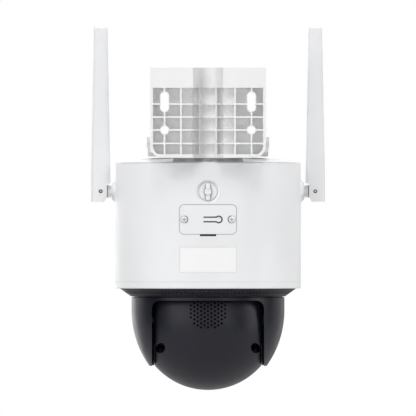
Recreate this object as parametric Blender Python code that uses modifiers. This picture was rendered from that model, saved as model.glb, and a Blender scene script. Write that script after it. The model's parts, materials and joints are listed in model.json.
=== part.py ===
"""Pan-and-tilt security camera with a lid-mounted solar panel, for Blender 4.5.

Units are metres and +Z is up.  The lens side faces -Y and the wall is at +Y.
The origin is the middle of the wall bracket's back: X = 0 is the plane of
symmetry, Y = 0 is the wall and Z = 0 is halfway up the bracket's plate.
Every shape is modelled in place.  Each moving body hangs from an empty that
stands on its joint's axis, and the ball's pieces are modelled about the ball's
centre with the lens looking along -Y, then tilted by their empty.
"""

import math

import bmesh
import bpy
from mathutils import Matrix, Vector

COLLECTION_NAME = "Security camera"
GAP = 0.0003                      # clearance between touching pieces
MERGE = 0.00005

# Wall bracket
PLATE_HALF_WIDTH = 0.04905
PLATE_TOP = 0.0371
PLATE_FOOT = -0.0392
PLATE_DEPTH = 0.010
PLATE_CORNER = 0.0102
STRIP_BOTTOM = 0.0200             # the solid strip runs from here to the top edge
CELL_FLOOR_Y = -0.0083
RIM_SIDE = 0.0024
RIM_BOTTOM = 0.0031
RIB = 0.00145
RIB_X = (0.0070, 0.0229, 0.0368)
RIB_Z = (0.0063, -0.0047, -0.0156, -0.0270)
FIXING_X = 0.0367
FIXING_SLOT_Z = 0.0082
FIXING_SLOT_TRAVEL = 0.0098       # between the slot's two arc centres
FIXING_HOLE_Z = -0.0156
FIXING_HOLE_R = 0.0030
FIXING_BOSS_R = 0.0040
CHANNEL_R = 0.0138                # hollow down the back that seats on a pole
CHANNEL_AXIS_Y = 0.0051
TROUGH_R = 0.0250                 # the cells' floor behind the hollow
TROUGH_AXIS_Y = 0.0122
TROUGH_WALL = 0.0020
CHEEK_TOP_Z = 0.0340
CHEEK_INNER_X = 0.0462

# Fold hinge between the bracket and the drum's cradle
HINGE_Y = -0.0600
HINGE_Z = -0.0280
HINGE_EYE_R = 0.0065
HINGE_PIN_R = 0.0025
CRADLE_TOP_X = 0.0521
CRADLE_FOOT_X = 0.0509
CRADLE_INNER_X = 0.04935
CRADLE_FRONT_Y = -0.0750
CRADLE_REAR_Y = -0.0450
CRADLE_BASE_TOP = -0.0349
CRADLE_BASE_BOTTOM = -0.0379
CRADLE_SCREW_X = 0.0300

# Drum
DRUM_Y = -0.0870
DRUM_R = 0.0789
DRUM_WALL = 0.0025
DRUM_TOP = -0.0432
DRUM_BOTTOM = -0.1499
DOME_RISE = 0.0050
DRUM_SEGMENTS = 48
BELL_SEGMENTS = 36
BALL_SEGMENTS = 32
POLE_SEGMENTS = 36
BOARD_THICKNESS = 0.0016
PANEL_R = 0.0700                  # solar panel: a disc cut off behind its chord
PANEL_CHORD_Y = -0.0790
PANEL_FLOOR = -0.0430
PANEL_TOP = -0.0408

# Service door, key and label on the drum's back
DOOR_HALF_WIDTH = 0.0243
DOOR_TOP = -0.0787
DOOR_BOTTOM = -0.1039
DOOR_CORNER = 0.0041
DOOR_Z = (DOOR_TOP + DOOR_BOTTOM) / 2
DOOR_THICKNESS = 0.0020
DOOR_SCREW_X = 0.0201
KEY_ROOT_X = 0.0038
KEY_DISC_X = -0.0091
KEY_HALF_WIDTH = 0.0014
KEY_DISC_R = 0.0022
KEY_SLIT = 0.0011
PRY_HALF_WIDTH = 0.0069
PRY_BOTTOM = -0.1053
LABEL_HALF_WIDTH = 0.0241
LABEL_TOP = -0.1146
LABEL_BOTTOM = -0.1363
LABEL_DEPTH = 0.0004
BAY_HALF_WIDTH = 0.0270
BAY_TOP = -0.0763
BAY_BOTTOM = -0.1063
BAY_FRONT_Y = -0.0221
SEAL_INSET = 0.0006
SEAL_WIDTH = 0.0012
SEAL_THICKNESS = 0.0008

# Charging port and its cap
PORT_Z = -0.0678
PORT_RECESS_R = 0.0098
PORT_SEAT_R = 0.0110
PORT_FLOOR_Y = -0.0112
PORT_BORE_R = 0.0048
CAP_R = 0.0077

# Antennas
ANTENNA_Z = -0.0674
ANTENNA_PIN_X = 0.0912
ANTENNA_TOP = 0.0728
ANTENNA_BOTTOM = -0.0762
ANTENNA_BASE_HALF = 0.00825
ANTENNA_TIP_HALF = 0.00574
ANTENNA_BASE_DEPTH = 0.0110
ANTENNA_TIP_DEPTH = 0.0080
ANTENNA_NOTCH_X = 0.08585
ANTENNA_NOTCH_Z = -0.0612
BOSS_FACE_X = 0.0817
BOSS_R = 0.0077
BOSS_FLARE_R = 0.0120
KNUCKLE_HALF = 0.0053
KNUCKLE_DEPTH = 0.0050
SLOT_DEPTH = 0.0056

# Vent ring, yoke bell and ball
RING_TOP_R = 0.0746
RING_FOOT_R = 0.0655
RING_TOP = -0.1502
RING_FOOT = -0.1567
RING_BORE_R = 0.0641
BELL_R = 0.0650
BELL_EQUATOR_Z = -0.1680
BELL_SEMI_HEIGHT = 0.0744
BELL_TOP = -0.1573
BELL_FOOT = -0.2159
BELL_WALL = 0.0025
BELL_NECK_R = 0.0634
WINDOW_TOP = -0.1601
WINDOW_CORNER = 0.0077
COVER_INNER_X = 0.0476
COVER_OUTER_X = 0.0495
BALL_Z = -0.1765
BALL_R = 0.0598
BALL_WALL = 0.0025
BALL_FLAT_X = 0.0454
BALL_SPLIT_Y = -0.0090
BALL_TILT = math.radians(9.0)     # the lens looks this far below level at rest
BALL_SCREW_X = 0.0403
BALL_SCREW_Z = -0.0292
DOME_CLEAR_R = 0.0620
DOME_OUTER_R = 0.0642
FACE_Y = -0.0520
FACE_R = 0.0285

# Drives
GEAR_MODULE = 0.0020
PAN_GEAR_TEETH = 54
PAN_PINION_TEETH = 9
PAN_GEAR_BOTTOM = -0.1310
PAN_GEAR_TOP = -0.1270
PAN_GEAR_BORE_R = 0.0460
TILT_GEAR_TEETH = 14
TILT_PINION_TEETH = 8
TRUNNION_R = 0.0050

CAMERA_PIECES = None
CUTTERS = None


# ---------------------------------------------------------------- materials
def material(name, color, roughness, metallic=0.0):
    """A Principled BSDF with the piece's colour, roughness and metallic value."""
    mat = bpy.data.materials.new(name)
    mat.use_nodes = True
    shader = mat.node_tree.nodes["Principled BSDF"]
    shader.inputs["Base Color"].default_value = (*color, 1.0)
    shader.inputs["Roughness"].default_value = roughness
    shader.inputs["Metallic"].default_value = metallic
    return mat


FINISHES = {
    "white": ((0.84, 0.84, 0.85), 0.42, 0.0),
    "grey": ((0.52, 0.52, 0.53), 0.50, 0.0),
    "black": ((0.022, 0.023, 0.027), 0.30, 0.0),
    "satin_black": ((0.035, 0.036, 0.040), 0.45, 0.0),
    "panel": ((0.010, 0.018, 0.060), 0.12, 0.0),
    "steel": ((0.62, 0.62, 0.64), 0.28, 1.0),
    "rubber": ((0.05, 0.05, 0.055), 0.80, 0.0),
    "label": ((0.92, 0.92, 0.92), 0.55, 0.0),
    "board": ((0.02, 0.16, 0.07), 0.45, 0.0),
    "cell": ((0.03, 0.16, 0.38), 0.40, 0.0),
    "nylon": ((0.78, 0.76, 0.70), 0.50, 0.0),
    "glass": ((0.015, 0.015, 0.02), 0.05, 0.0),
    "lens": ((0.88, 0.88, 0.90), 0.35, 0.0),
}


# ------------------------------------------------------------ mesh builders
def new_object(name, bm, cutter=False):
    """Turn a bmesh into an object in the right collection."""
    bmesh.ops.recalc_face_normals(bm, faces=bm.faces)
    mesh = bpy.data.meshes.new(name)
    bm.to_mesh(mesh)
    bm.free()
    obj = bpy.data.objects.new(name, mesh)
    if cutter:
        CUTTERS.objects.link(obj)
        obj.display_type = "WIRE"
        obj.hide_render = True
    else:
        CAMERA_PIECES.objects.link(obj)
    return obj


def box(name, low, high, cutter=False):
    """A box between two corners."""
    bm = bmesh.new()
    size = Vector(high) - Vector(low)
    middle = (Vector(high) + Vector(low)) / 2
    matrix = Matrix.Translation(middle) @ Matrix.Diagonal((*size, 1.0))
    bmesh.ops.create_cube(bm, size=1.0, matrix=matrix)
    return new_object(name, bm, cutter)


AXIS_TURNS = {
    "X": Matrix.Rotation(math.pi / 2, 4, "Y"),
    "Y": Matrix.Rotation(-math.pi / 2, 4, "X"),
    "Z": Matrix.Identity(4),
}


def rod(name, radius, start, end, axis="Z", segments=24, cutter=False):
    """A cylinder along one axis, from the point start to the coordinate end."""
    index = "XYZ".index(axis)
    middle = Vector(start)
    length = abs(end - middle[index])
    middle[index] = (end + middle[index]) / 2
    bm = bmesh.new()
    matrix = Matrix.Translation(middle) @ AXIS_TURNS[axis]
    bmesh.ops.create_cone(bm, cap_ends=True, segments=segments, radius1=radius,
                          radius2=radius, depth=length, matrix=matrix)
    return new_object(name, bm, cutter)


def ball(name, radius, centre, cutter=False, segments=BALL_SEGMENTS):
    """A full sphere."""
    bm = bmesh.new()
    bmesh.ops.create_uvsphere(bm, u_segments=segments, v_segments=segments // 2,
                              radius=radius, matrix=Matrix.Translation(centre))
    return new_object(name, bm, cutter)


def prism(name, outline, axis, start, end, cutter=False):
    """A flat outline pushed along one axis; the outline gives the other two."""
    index = "XYZ".index(axis)
    bm = bmesh.new()
    corners = []
    for point in outline:
        place = list(point)
        place.insert(index, start)
        corners.append(bm.verts.new(place))
    face = bm.faces.new(corners)
    pushed = bmesh.ops.extrude_face_region(bm, geom=[face])
    push = Vector((0.0, 0.0, 0.0))
    push[index] = end - start
    moved = [item for item in pushed["geom"] if isinstance(item, bmesh.types.BMVert)]
    bmesh.ops.translate(bm, verts=moved, vec=push)
    return new_object(name, bm, cutter)


def turned(name, profile, centre, axis="Z", closed=True, segments=DRUM_SEGMENTS,
           cutter=False):
    """A profile of (radius, height) points spun about an axis.

    The profile runs down its outer side.  A closed profile makes a ring, and
    an open one starts and ends on the axis.
    """
    mesh = bpy.data.meshes.new(name)
    points = [(radius, 0.0, height) for radius, height in profile]
    edges = [(i, i + 1) for i in range(len(points) - 1)]
    if closed:
        edges.append((len(points) - 1, 0))
    mesh.from_pydata(points, edges, [])
    obj = bpy.data.objects.new(name, mesh)
    (CUTTERS if cutter else CAMERA_PIECES).objects.link(obj)
    if cutter:
        obj.display_type = "WIRE"
        obj.hide_render = True
    obj.matrix_world = Matrix.Translation(centre) @ AXIS_TURNS[axis]
    screw = obj.modifiers.new("Turn", "SCREW")
    screw.steps = segments
    screw.render_steps = segments
    screw.use_merge_vertices = True
    screw.merge_threshold = MERGE
    screw.use_smooth_shade = True
    return obj


def combine(target, tool, operation="DIFFERENCE"):
    """Add a Boolean that cuts, joins or intersects the target with the tool."""
    modifier = target.modifiers.new(tool.name, "BOOLEAN")
    modifier.operation = operation
    modifier.solver = "EXACT"
    modifier.object = tool
    return target


def ease(obj, width, segments=1, angle=math.radians(40)):
    """Round the piece's sharp edges."""
    bevel = obj.modifiers.new("Eased edges", "BEVEL")
    bevel.width = width
    bevel.segments = segments
    bevel.limit_method = "ANGLE"
    bevel.angle_limit = angle
    return obj


def dress(obj, finish):
    """Give the piece its own material and shade it smooth between sharp edges."""
    color, roughness, metallic = FINISHES[finish]
    obj.data.materials.append(material(obj.name, color, roughness, metallic))
    if obj.data.polygons:
        obj.data.shade_smooth()
        obj.data.set_sharp_from_angle(angle=math.radians(35))
    return obj


# ----------------------------------------------------------------- outlines
def arc(centre, radius, start_deg, end_deg, steps):
    """Points along an arc, both ends included."""
    points = []
    for i in range(steps + 1):
        angle = math.radians(start_deg + (end_deg - start_deg) * i / steps)
        points.append((centre[0] + radius * math.cos(angle),
                       centre[1] + radius * math.sin(angle)))
    return points


def rounded(low, high, radius, steps=3):
    """A rectangle with round corners, counter-clockwise from the lower right."""
    left, bottom = low
    right, top = high
    points = arc((right - radius, bottom + radius), radius, -90, 0, steps)
    points += arc((right - radius, top - radius), radius, 0, 90, steps)
    points += arc((left + radius, top - radius), radius, 90, 180, steps)
    points += arc((left + radius, bottom + radius), radius, 180, 270, steps)
    return points


def gear_outline(centre, teeth, module, tooth_at=None, gap_at=None):
    """A gear's outline, four points a tooth, with a tooth or a gap at one angle."""
    phase = tooth_at / 360 * teeth if gap_at is None else gap_at / 360 * teeth + 0.5
    pitch_r = teeth * module / 2
    root_r = pitch_r - 1.15 * module
    tip_r = pitch_r + 0.85 * module
    points = []
    for tooth in range(teeth):
        middle = (tooth + phase) * 2 * math.pi / teeth
        quarter = math.pi / (2 * teeth)
        for offset, radius in ((-1.25, root_r), (-0.45, tip_r), (0.45, tip_r), (1.25, root_r)):
            angle = middle + offset * quarter
            points.append((centre[0] + radius * math.cos(angle),
                           centre[1] + radius * math.sin(angle)))
    return points


# -------------------------------------------------------------- the bracket
def cell_edges(ribs, low, high):
    """The open stretches between ribs, from one rim to the other."""
    edges = [low]
    for rib in sorted(ribs):
        edges += [rib - RIB / 2, rib + RIB / 2]
    edges.append(high)
    return [(edges[i], edges[i + 1]) for i in range(0, len(edges), 2)]


def cell_cutter():
    """The cored-out cells in the bracket's back, one box between each pair of ribs."""
    bm = bmesh.new()
    ribs_x = [side * x for side in (-1, 1) for x in RIB_X]
    columns = cell_edges(ribs_x, -PLATE_HALF_WIDTH + RIM_SIDE, PLATE_HALF_WIDTH - RIM_SIDE)
    rows = cell_edges(RIB_Z, PLATE_FOOT + RIM_BOTTOM, STRIP_BOTTOM)
    for low_x, high_x in columns:
        for low_z, high_z in rows:
            size = (high_x - low_x, 0.030, high_z - low_z)
            middle = ((low_x + high_x) / 2, -0.010, (low_z + high_z) / 2)
            matrix = Matrix.Translation(middle) @ Matrix.Diagonal((*size, 1.0))
            bmesh.ops.create_cube(bm, size=1.0, matrix=matrix)
    cells = new_object("cut_cells", bm, cutter=True)
    reach = box("cut_cell_reach", (-0.06, CELL_FLOOR_Y, -0.06), (0.06, 0.01, 0.06), True)
    start = (0, TROUGH_AXIS_Y, -0.06)
    trough = rod("cut_cell_trough", TROUGH_R, start, 0.06, "Z", POLE_SEGMENTS, True)
    combine(reach, trough, "UNION")
    corner = PLATE_CORNER - RIM_BOTTOM
    inside = rounded((-PLATE_HALF_WIDTH + RIM_SIDE, PLATE_FOOT + RIM_BOTTOM),
                     (PLATE_HALF_WIDTH - RIM_SIDE, 0.05), corner)
    within = prism("cut_cell_corners", inside, "Y", -0.02, 0.02, True)
    combine(cells, reach, "INTERSECT")
    combine(cells, within, "INTERSECT")
    return cells


def fixing_outline(radius, travel):
    """A slot's outline about the origin, standing upright; no travel makes a circle."""
    top = arc((0.0, travel / 2), radius, 0, 180, 8)
    bottom = arc((0.0, -travel / 2), radius, 180, 360, 8)
    if travel:
        return top + bottom
    return arc((0.0, 0.0), radius, 0, 360, 16)[:-1]


def fixings(plate):
    """Four fixing points through the plate, each with a boss around it."""
    places = []
    for side in (-1, 1):
        places.append((side * FIXING_X, FIXING_SLOT_Z, FIXING_SLOT_TRAVEL))
        places.append((side * FIXING_X, FIXING_HOLE_Z, 0.0))
    for number, (x, z, travel) in enumerate(places):
        boss = [(x + u, z + v) for u, v in fixing_outline(FIXING_BOSS_R, travel)]
        hole = [(x + u, z + v) for u, v in fixing_outline(FIXING_HOLE_R, travel)]
        raised = prism(f"join_boss_{number}", boss, "Y", CELL_FLOOR_Y - 0.001, -0.0002, True)
        bored = prism(f"cut_fixing_{number}", hole, "Y", -0.030, 0.010, True)
        combine(plate, raised, "UNION")
        combine(plate, bored)


def cheek_outline():
    """One cheek seen from the side, from the plate to the hinge eye."""
    root = 0.0005 - PLATE_DEPTH
    run = Vector((root - HINGE_Y, CHEEK_TOP_Z - HINGE_Z))
    lean = math.degrees(math.atan2(run.y, run.x)) + 90
    lean -= math.degrees(math.asin(HINGE_EYE_R / run.length))
    eye = arc((HINGE_Y, HINGE_Z), HINGE_EYE_R, lean, 270, 8)
    return [(root, HINGE_Z - HINGE_EYE_R), (root, CHEEK_TOP_Z)] + eye


def wall_bracket():
    """The moulded plate that screws to a wall, with two cheeks to the fold hinge."""
    outline = [(PLATE_HALF_WIDTH, PLATE_TOP), (-PLATE_HALF_WIDTH, PLATE_TOP)]
    low = PLATE_FOOT + PLATE_CORNER
    outline += arc((-PLATE_HALF_WIDTH + PLATE_CORNER, low), PLATE_CORNER, 180, 270, 8)
    outline += arc((PLATE_HALF_WIDTH - PLATE_CORNER, low), PLATE_CORNER, 270, 360, 8)
    plate = prism("wall_bracket", outline, "Y", -PLATE_DEPTH, 0.0)
    start = (0, TROUGH_AXIS_Y, PLATE_FOOT)
    bulge = rod("join_trough", TROUGH_R + TROUGH_WALL, start, PLATE_TOP, "Z", POLE_SEGMENTS, True)
    front = box("cut_bulge_back", (-0.05, -0.005, -0.05), (0.05, 0.09, 0.05), True)
    combine(bulge, front)
    combine(plate, bulge, "UNION")
    combine(plate, cell_cutter())
    fixings(plate)
    start = (0, CHANNEL_AXIS_Y, -0.05)
    combine(plate, rod("cut_channel", CHANNEL_R, start, 0.05, "Z", POLE_SEGMENTS, True))
    for side in (-1, 1):
        cheek = prism(f"join_cheek_{side}", cheek_outline(), "X", side * CHEEK_INNER_X,
                      side * PLATE_HALF_WIDTH * 0.9999, True)
        combine(plate, cheek, "UNION")
    eye = rod("cut_hinge_eye", HINGE_PIN_R + GAP, (-0.06, HINGE_Y, HINGE_Z), 0.06, "X", 16, True)
    combine(plate, eye)
    return dress(plate, "white")


def hinge_pin(name, side):
    """A headed pin through one cheek and one ear of the cradle."""
    profile = [(0.0, 0.0059), (HINGE_PIN_R, 0.0059), (HINGE_PIN_R, -0.0003),
               (0.0042, -0.0003), (0.0042, -0.0018), (0.0, -0.0018)]
    pin = turned(name, profile, (0.0, 0.0, 0.0), "X", closed=False, segments=16)
    turn = Matrix.Rotation(math.pi, 4, "Z") if side < 0 else Matrix.Identity(4)
    place = Matrix.Translation((side * (CHEEK_INNER_X - GAP * 0.5), HINGE_Y, HINGE_Z))
    pin.matrix_world = place @ turn @ AXIS_TURNS["X"]
    return dress(pin, "steel")


# ------------------------------------------------------------------ the lid
def cradle():
    """The folded bracket on the lid whose two ears carry the bracket's cheeks."""
    half = [(CRADLE_FOOT_X, CRADLE_BASE_BOTTOM), (CRADLE_TOP_X, HINGE_Z + HINGE_EYE_R),
            (CRADLE_INNER_X, HINGE_Z + HINGE_EYE_R), (CRADLE_INNER_X, CRADLE_BASE_TOP)]
    outline = half + [(-x, z) for x, z in reversed(half)]
    channel = prism("cradle", outline, "Y", CRADLE_FRONT_Y, CRADLE_REAR_Y)
    base_top = CRADLE_BASE_TOP
    side = [(CRADLE_REAR_Y + 0.001, CRADLE_BASE_BOTTOM - 0.001), (CRADLE_REAR_Y + 0.001, base_top)]
    side += arc((HINGE_Y, HINGE_Z), HINGE_EYE_R, 0, 180, 8)
    side += [(CRADLE_FRONT_Y - 0.001, base_top), (CRADLE_FRONT_Y - 0.001, CRADLE_BASE_BOTTOM - 0.001)]
    combine(channel, prism("cut_cradle_side", side, "X", -0.06, 0.06, True), "INTERSECT")
    fillet = 0.0080
    top = HINGE_Z - 0.0010
    wing = [(CRADLE_INNER_X + 0.0010, CRADLE_BASE_BOTTOM + 0.0010), (CRADLE_INNER_X + 0.0010, top)]
    wing += arc((CRADLE_INNER_X - fillet, top), fillet, 0, -47, 6)
    wing = wing + [(-x, z) for x, z in reversed(wing)]
    front = prism("join_cradle_wall", wing, "Y", CRADLE_FRONT_Y + 0.0001, CRADLE_FRONT_Y + 0.0025, True)
    combine(channel, front, "UNION")
    eye = rod("cut_cradle_eye", HINGE_PIN_R + GAP, (-0.06, HINGE_Y, HINGE_Z), 0.06, "X", 16, True)
    combine(channel, eye)
    for number in (-1, 1):
        place = (number * CRADLE_SCREW_X, HINGE_Y, -0.06)
        combine(channel, rod(f"cut_cradle_screw_{number}", 0.0019, place, 0.0, "Z", 16, True))
    return dress(channel, "grey")


def pan_head_screw(name, place, axis, shank_r, head_r, head, length, segments=12):
    """A screw whose head's underside is at place; its head points along the axis."""
    crown = head * 0.55
    profile = [(0.0, head), (head_r * 0.72, head), (head_r, crown), (head_r, 0.0),
               (shank_r, 0.0), (shank_r, -length), (0.0, -length)]
    screw = turned(name, profile, place, axis, closed=False, segments=segments)
    return dress(screw, "steel")


def half_moon(radius, chord_y, steps=24):
    """The part of a disc about the drum's axis that lies in front of a chord."""
    lean = math.degrees(math.asin((chord_y - DRUM_Y) / radius))
    return arc((0.0, DRUM_Y), radius, 180 - lean, 360 + lean, steps)


def dome_points(radius, rim, steps=5):
    """The lid's shallow elliptical dome, from the axis out to its rim."""
    points = []
    for i in range(steps + 1):
        angle = math.pi / 2 * i / steps
        points.append((radius * math.sin(angle), rim + DOME_RISE * math.cos(angle)))
    return points


def top_lid():
    """The domed lid with its spigot, its solar tray and two screw holes."""
    inner_r = DRUM_R - DRUM_WALL
    profile = dome_points(DRUM_R, DRUM_TOP)
    profile += [(0.0740, DRUM_TOP), (0.0740, DRUM_TOP - 0.0068), (0.0725, DRUM_TOP - 0.0068)]
    profile += [(r, z) for r, z in reversed(dome_points(inner_r, DRUM_TOP - DRUM_WALL)) if r < 0.0724]
    lid = turned("top_lid", profile, (0.0, DRUM_Y, 0.0), closed=False)
    tray = prism("join_tray", half_moon(PANEL_R + 0.0020, PANEL_CHORD_Y + 0.0020), "Z",
                 PANEL_FLOOR - 0.0025, PANEL_FLOOR + 0.0010, True)
    combine(lid, tray, "UNION")
    pocket = prism("cut_pocket", half_moon(PANEL_R, PANEL_CHORD_Y), "Z", PANEL_FLOOR, 0.0, True)
    combine(lid, pocket)
    lead = rod("cut_panel_lead", 0.0020, (0.0, DRUM_Y - 0.0100, -0.06), 0.0, "Z", 16, True)
    combine(lid, lead)
    for number in (-1, 1):
        place = (number * CRADLE_SCREW_X, HINGE_Y, -0.06)
        combine(lid, rod(f"cut_lid_screw_{number}", 0.0018, place, 0.0, "Z", 16, True))
    return dress(lid, "white")


def solar_panel():
    """The half-moon solar laminate that drops into the lid's tray."""
    outline = half_moon(PANEL_R - GAP, PANEL_CHORD_Y - GAP)
    panel = prism("solar_panel", outline, "Z", PANEL_FLOOR + GAP, PANEL_TOP)
    return dress(panel, "panel")


def ring(name, inner, outer, bottom, top, finish, centre=(0.0, DRUM_Y), segments=DRUM_SEGMENTS):
    """A plain ring about a vertical axis."""
    profile = [(outer, top), (outer, bottom), (inner, bottom), (inner, top)]
    obj = turned(name, profile, (*centre, 0.0), "Z", closed=True, segments=segments)
    return dress(obj, finish)


# ----------------------------------------------------------------- the drum
def door_outline(inset, top=DOOR_TOP, bottom=DOOR_BOTTOM, half=DOOR_HALF_WIDTH):
    """The door's rounded outline, taken in or let out all round."""
    low = (-half + inset, bottom + inset)
    high = (half - inset, top - inset)
    return rounded(low, high, DOOR_CORNER - inset)


def drum_skin_cutter(name, outline, depth):
    """A cutter that takes an outline out of the drum's back, to a depth below its skin."""
    block = prism(name, outline, "Y", -0.030, 0.0, True)
    core = rod(f"{name}_core", DRUM_R - depth, (0, DRUM_Y, -0.20), 0.0, "Z", DRUM_SEGMENTS, True)
    combine(block, core)
    return block


def antenna_boss(side):
    """The flared seat on the drum's side that carries one antenna."""
    length = BOSS_FACE_X - 0.0765
    steps = 3
    profile = [(0.0, length), (BOSS_R, length)]
    for i in range(steps + 1):
        angle = math.pi / 2 * i / steps
        radius = BOSS_FLARE_R - (BOSS_FLARE_R - BOSS_R) * math.cos(angle)
        height = length - 0.0006 - 0.0030 * math.sin(angle)
        profile.append((radius, height))
    profile += [(BOSS_FLARE_R, 0.0), (0.0, 0.0)]
    boss = turned(f"join_antenna_boss_{side}", profile, (0, 0, 0), "X", False, 32, True)
    turn = Matrix.Rotation(math.pi, 4, "Z") if side < 0 else Matrix.Identity(4)
    boss.matrix_world = Matrix.Translation((side * 0.0765, DRUM_Y, ANTENNA_Z)) @ turn @ AXIS_TURNS["X"]
    return boss


def drum_shell():
    """The drum's outer wall with its door opening, port recess and antenna seats."""
    inner_r = DRUM_R - DRUM_WALL
    profile = [(DRUM_R, DRUM_TOP - GAP), (DRUM_R, DRUM_BOTTOM), (inner_r, DRUM_BOTTOM),
               (inner_r, DRUM_TOP - GAP)]
    shell = turned("drum_shell", profile, (0.0, DRUM_Y, 0.0))
    for side in (-1, 1):
        combine(shell, antenna_boss(side), "UNION")
    seat = rod("join_port_seat", PORT_SEAT_R, (0, -0.0155, PORT_Z), -0.0100, "Y", 32, True)
    combine(shell, seat, "UNION")
    cuts = [
        prism("cut_door", door_outline(-GAP / 2), "Y", -0.030, 0.0, True),
        drum_skin_cutter("cut_pry", rounded((-PRY_HALF_WIDTH, PRY_BOTTOM),
                                            (PRY_HALF_WIDTH, DOOR_BOTTOM + 0.001), 0.0004, 2), 0.0018),
        drum_skin_cutter("cut_label", rounded((-LABEL_HALF_WIDTH, LABEL_BOTTOM),
                                              (LABEL_HALF_WIDTH, LABEL_TOP), 0.0006, 2), LABEL_DEPTH),
        rod("cut_port_recess", PORT_RECESS_R, (0, PORT_FLOOR_Y, PORT_Z), 0.0, "Y", 32, True),
        rod("cut_port_bore", PORT_BORE_R, (0, -0.020, PORT_Z), 0.0, "Y", 20, True),
        rod("cut_sensor", 0.0085, (0, DRUM_Y - 0.090, -0.1000), DRUM_Y - 0.060, "Y", 24, True),
        rod("cut_antennas", 0.0044, (-0.10, DRUM_Y, ANTENNA_Z), 0.10, "X", 16, True),
    ]
    for cutter in cuts:
        combine(shell, cutter)
    return dress(shell, "white")


def curved_plate(name, outline, outer_r, thickness, finish):
    """A plate that follows the drum's curve, with the outline seen from behind."""
    plate = prism(name, outline, "Y", -0.030, 0.0)
    skin = rod(f"trim_{name}_skin", outer_r, (0, DRUM_Y, -0.20), 0.0, "Z", DRUM_SEGMENTS, True)
    core = rod(f"trim_{name}_core", outer_r - thickness, (0, DRUM_Y, -0.20), 0.0, "Z",
               DRUM_SEGMENTS, True)
    combine(plate, skin, "INTERSECT")
    combine(plate, core)
    return dress(plate, finish)


def key_outline(grow):
    """The spring key: a tongue that ends in a disc, let out by the slit around it."""
    half = KEY_HALF_WIDTH + grow
    radius = KEY_DISC_R + grow
    lean = math.degrees(math.asin(half / radius))
    disc = arc((KEY_DISC_X, DOOR_Z), radius, lean, 360 - lean, 12)
    root = KEY_ROOT_X - (0.0 if grow else GAP)
    return disc + [(root, DOOR_Z - half), (root, DOOR_Z + half)]


def service_door():
    """The curved door with two countersunk screw seats and the slit round its key."""
    door = curved_plate("service_door", door_outline(GAP), DRUM_R, DOOR_THICKNESS, "white")
    combine(door, prism("cut_key_slit", key_outline(KEY_SLIT), "Y", -0.030, 0.0, True))
    for side in (-1, 1):
        place = (side * DOOR_SCREW_X, -0.030, DOOR_Z)
        seat = (side * DOOR_SCREW_X, -0.0117, DOOR_Z)
        combine(door, rod(f"cut_door_shank_{side}", 0.0018, place, 0.0, "Y", 16, True))
        combine(door, rod(f"cut_door_seat_{side}", 0.0034, seat, 0.0, "Y", 20, True))
    return door


def service_bay():
    """The frame behind the door, with a post for each door screw."""
    outer = rounded((-BAY_HALF_WIDTH, BAY_BOTTOM), (BAY_HALF_WIDTH, BAY_TOP), 0.0050)
    bay = prism("service_bay", outer, "Y", BAY_FRONT_Y, -0.0080)
    inner = door_outline(SEAL_INSET + SEAL_WIDTH + GAP)
    combine(bay, prism("cut_bay", inner, "Y", -0.030, 0.010, True))
    for side in (-1, 1):
        post = rod(f"join_post_{side}", 0.0034, (side * DOOR_SCREW_X, BAY_FRONT_Y + 0.0001, DOOR_Z),
                   -0.0137, "Y", 12, True)
        start = (side * DOOR_SCREW_X, -0.0205, DOOR_Z)
        hole = rod(f"cut_post_{side}", 0.0016, start, 0.0, "Y", 12, True)
        combine(bay, post, "UNION")
        combine(bay, hole)
    rim_r = DRUM_R - DOOR_THICKNESS - SEAL_THICKNESS - 2 * GAP
    limit = rod("trim_bay", rim_r, (0, DRUM_Y, -0.20), 0.0, "Z", DRUM_SEGMENTS, True)
    combine(bay, limit, "INTERSECT")
    combine(bay, rod("cut_bay_port", PORT_SEAT_R + GAP, (0, -0.0160, PORT_Z), 0.0, "Y", 32, True))
    return dress(bay, "satin_black")


def door_seal():
    """The soft ring between the door's edge and the bay's rim."""
    outer_r = DRUM_R - DOOR_THICKNESS - GAP
    seal = curved_plate("door_seal", door_outline(SEAL_INSET), outer_r, SEAL_THICKNESS, "rubber")
    hole = door_outline(SEAL_INSET + SEAL_WIDTH)
    combine(seal, prism("cut_seal", hole, "Y", -0.040, 0.010, True))
    return seal


def reader_and_cards():
    """The block with two card slots, and the two cards in it."""
    block = box("card_reader", (-0.0160, BAY_FRONT_Y, -0.0880), (0.0160, -0.0150, -0.0812))
    cards = []
    slots = (("sim_card", -0.0140, -0.0017, "label"), ("memory_card", 0.0025, 0.0135, "black"))
    for name, low, high, finish in slots:
        middle_z = -0.0846
        slot = box(f"cut_{name}", (low - GAP, -0.0215, middle_z - 0.0007),
                   (high + GAP, 0.0, middle_z + 0.0007), True)
        combine(block, slot)
        card = box(name, (low, -0.0211, middle_z - 0.0004), (high, -0.0138, middle_z + 0.0004))
        cards.append(dress(card, finish))
    return [dress(block, "satin_black")] + cards


def port_cap():
    """The round cap with a grip bar that turns in the port's recess."""
    profile = [(0.0, 0.0023), (CAP_R - 0.0004, 0.0023), (CAP_R, 0.0019), (CAP_R, GAP),
               (0.0042, GAP), (0.0042, -0.0036), (0.0, -0.0036)]
    cap = turned("port_cap", profile, (0.0, PORT_FLOOR_Y, PORT_Z), "Y", False, 32)
    grip = rounded((-0.00182, PORT_Z - 0.0073), (0.00182, PORT_Z + 0.0073), 0.0016, 4)
    combine(cap, prism("join_grip", grip, "Y", PORT_FLOOR_Y + 0.0010, -0.0076, True), "UNION")
    hub = rod("join_hub", 0.0029, (0, PORT_FLOOR_Y + 0.0010, PORT_Z), -0.0071, "Y", 24, True)
    combine(cap, hub, "UNION")
    return dress(cap, "white")


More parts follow.
